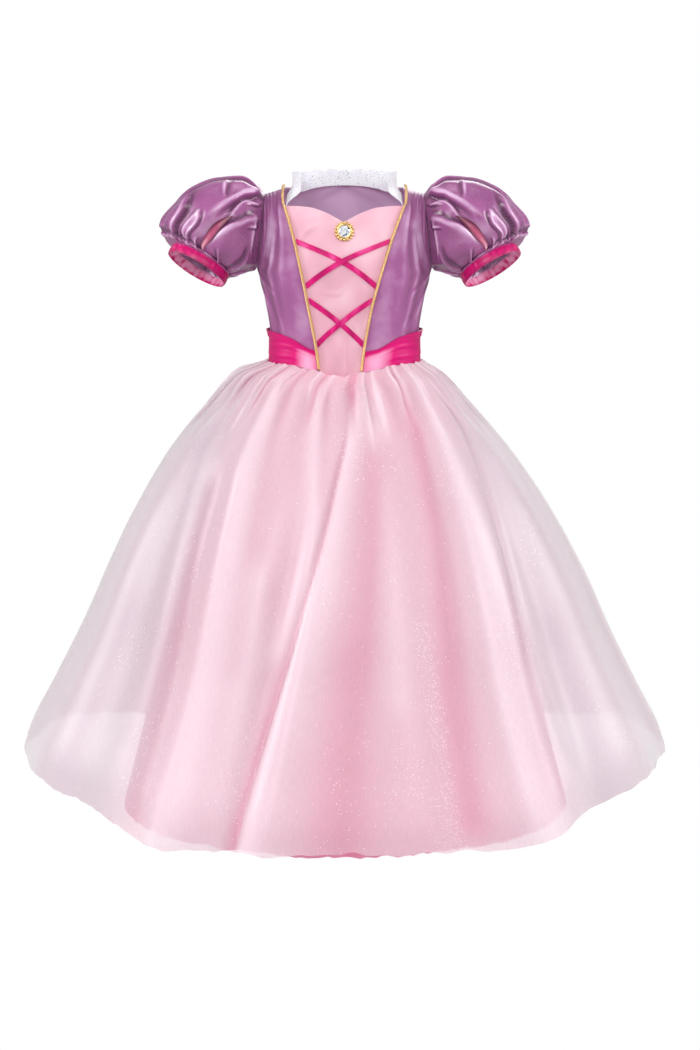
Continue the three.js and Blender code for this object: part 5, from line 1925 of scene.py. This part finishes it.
# Stage, in metres, watts and degrees. Each lamp has a place, a size and a power.
FLOOR_SIZE = 60
FLOOR_HEIGHT = -1.2
ROOM_LIGHT = 0.35
LAMP_TARGET = (0, 0, -0.3)
LAMPS = (
    ("key", (-1.1, -3.0, 1.3), 1.3, 43),
    ("fill", (1.3, -3.0, 0.8), 1.3, 27),
    ("side_left", (-2.6, -0.4, 0.6), 1.2, 40),
    ("side_right", (2.6, -0.4, 0.6), 1.2, 40),
    ("back", (0.4, 2.8, 1.2), 1.6, 20),
    ("top", (0, -0.2, 2.4), 1.8, 14),
)
CAMERA_PLACE = (0.007, -2.6, 0.034)
CAMERA_PITCH = -10.2
SENSOR_WIDTH = 36
LENS = SENSOR_WIDTH * 2000 / 1050


def seen_or_lighting(nodes, links, seen, lighting, output):
    """Joins one shader that the camera sees and another one that lights the dress."""
    path = nodes.new("ShaderNodeLightPath")
    either = nodes.new("ShaderNodeMixShader")
    links.new(path.outputs["Is Camera Ray"], either.inputs[0])
    links.new(lighting.outputs[0], either.inputs[1])
    links.new(seen.outputs[0], either.inputs[2])
    links.new(either.outputs[0], output.inputs[0])


def white_floor():
    tree = Tree("floor_white")
    tree.shade(Base_Color=(0.6, 0.6, 0.6, 1), Roughness=0.9)
    seen = tree.add("ShaderNodeEmission", {"Color": (1, 1, 1, 1), "Strength": 1.0})
    output = tree.nodes["Material Output"]
    seen_or_lighting(tree.nodes, tree.links, seen, tree.shader, output)
    return tree.material


def white_room():
    """A world that the camera sees as white and that lights the dress softly."""
    world = bpy.data.worlds.new("studio")
    world.use_nodes = True
    nodes, links = world.node_tree.nodes, world.node_tree.links
    seen = nodes["Background"]
    seen.inputs["Color"].default_value = (1, 1, 1, 1)
    seen.inputs["Strength"].default_value = 1.0
    lighting = nodes.new("ShaderNodeBackground")
    lighting.inputs["Color"].default_value = (1, 1, 1, 1)
    lighting.inputs["Strength"].default_value = ROOM_LIGHT
    seen_or_lighting(nodes, links, seen, lighting, nodes["World Output"])
    return world


class DRESS_OT_stage(bpy.types.Operator):
    """Make the floor, the lights and the camera."""

    bl_idname = "dress.stage"
    bl_label = "Studio stage"

    def execute(self, context):
        scene = context.scene
        bpy.ops.object.select_all(action="DESELECT")
        bpy.ops.mesh.primitive_plane_add(size=FLOOR_SIZE, location=(0, 0, FLOOR_HEIGHT))
        floor = context.object
        floor.name = "floor"
        floor.data.materials.append(white_floor())
        scene.world = white_room()
        scene.view_settings.view_transform = "Standard"

        for name, location, size, power in LAMPS:
            lamp = bpy.data.lights.new(name, "AREA")
            lamp.shape, lamp.size, lamp.energy = "DISK", size, power
            holder = bpy.data.objects.new(name, lamp)
            holder.location = location
            aim = Vector(LAMP_TARGET) - Vector(location)
            holder.rotation_euler = aim.to_track_quat("-Z", "Y").to_euler()
            scene.collection.objects.link(holder)

        camera = bpy.data.cameras.new("camera")
        camera.sensor_width, camera.lens = SENSOR_WIDTH, LENS
        holder = bpy.data.objects.new("camera", camera)
        holder.location = CAMERA_PLACE
        holder.rotation_euler = (math.radians(90 + CAMERA_PITCH), 0, 0)
        scene.collection.objects.link(holder)
        scene.camera = holder
        return {"FINISHED"}


PIECES = (
    DRESS_OT_stage,
    DRESS_OT_bodice,
    DRESS_OT_sleeves,
    DRESS_OT_belt,
    DRESS_OT_collar,
    DRESS_OT_piping,
    DRESS_OT_ribbons,
    DRESS_OT_brooch,
    DRESS_OT_skirts,
)


class DRESS_PT_pieces(bpy.types.Panel):
    """Lists the dress's sizes, colours and pieces."""

    bl_idname = "DRESS_PT_pieces"
    bl_label = "Princess costume dress"
    bl_space_type = "VIEW_3D"
    bl_region_type = "UI"
    bl_category = "Dress"

    def draw(self, context):
        for group in (context.scene.dress_sizes, context.scene.dress_colours):
            for key in group.__annotations__:
                self.layout.prop(group, key)
        for piece in PIECES:
            self.layout.operator(piece.bl_idname)


CLASSES = (DressSizes, DressColours, *PIECES, DRESS_PT_pieces)


def register():
    for one in CLASSES:
        bpy.utils.register_class(one)
    bpy.types.Scene.dress_sizes = bpy.props.PointerProperty(type=DressSizes)
    bpy.types.Scene.dress_colours = bpy.props.PointerProperty(type=DressColours)


def unregister():
    del bpy.types.Scene.dress_colours
    del bpy.types.Scene.dress_sizes
    for one in reversed(CLASSES):
        bpy.utils.unregister_class(one)


def main():
    register()
    for piece in PIECES:
        group, call = piece.bl_idname.split(".")
        getattr(getattr(bpy.ops, group), call)()


if __name__ == "__main__":
    main()
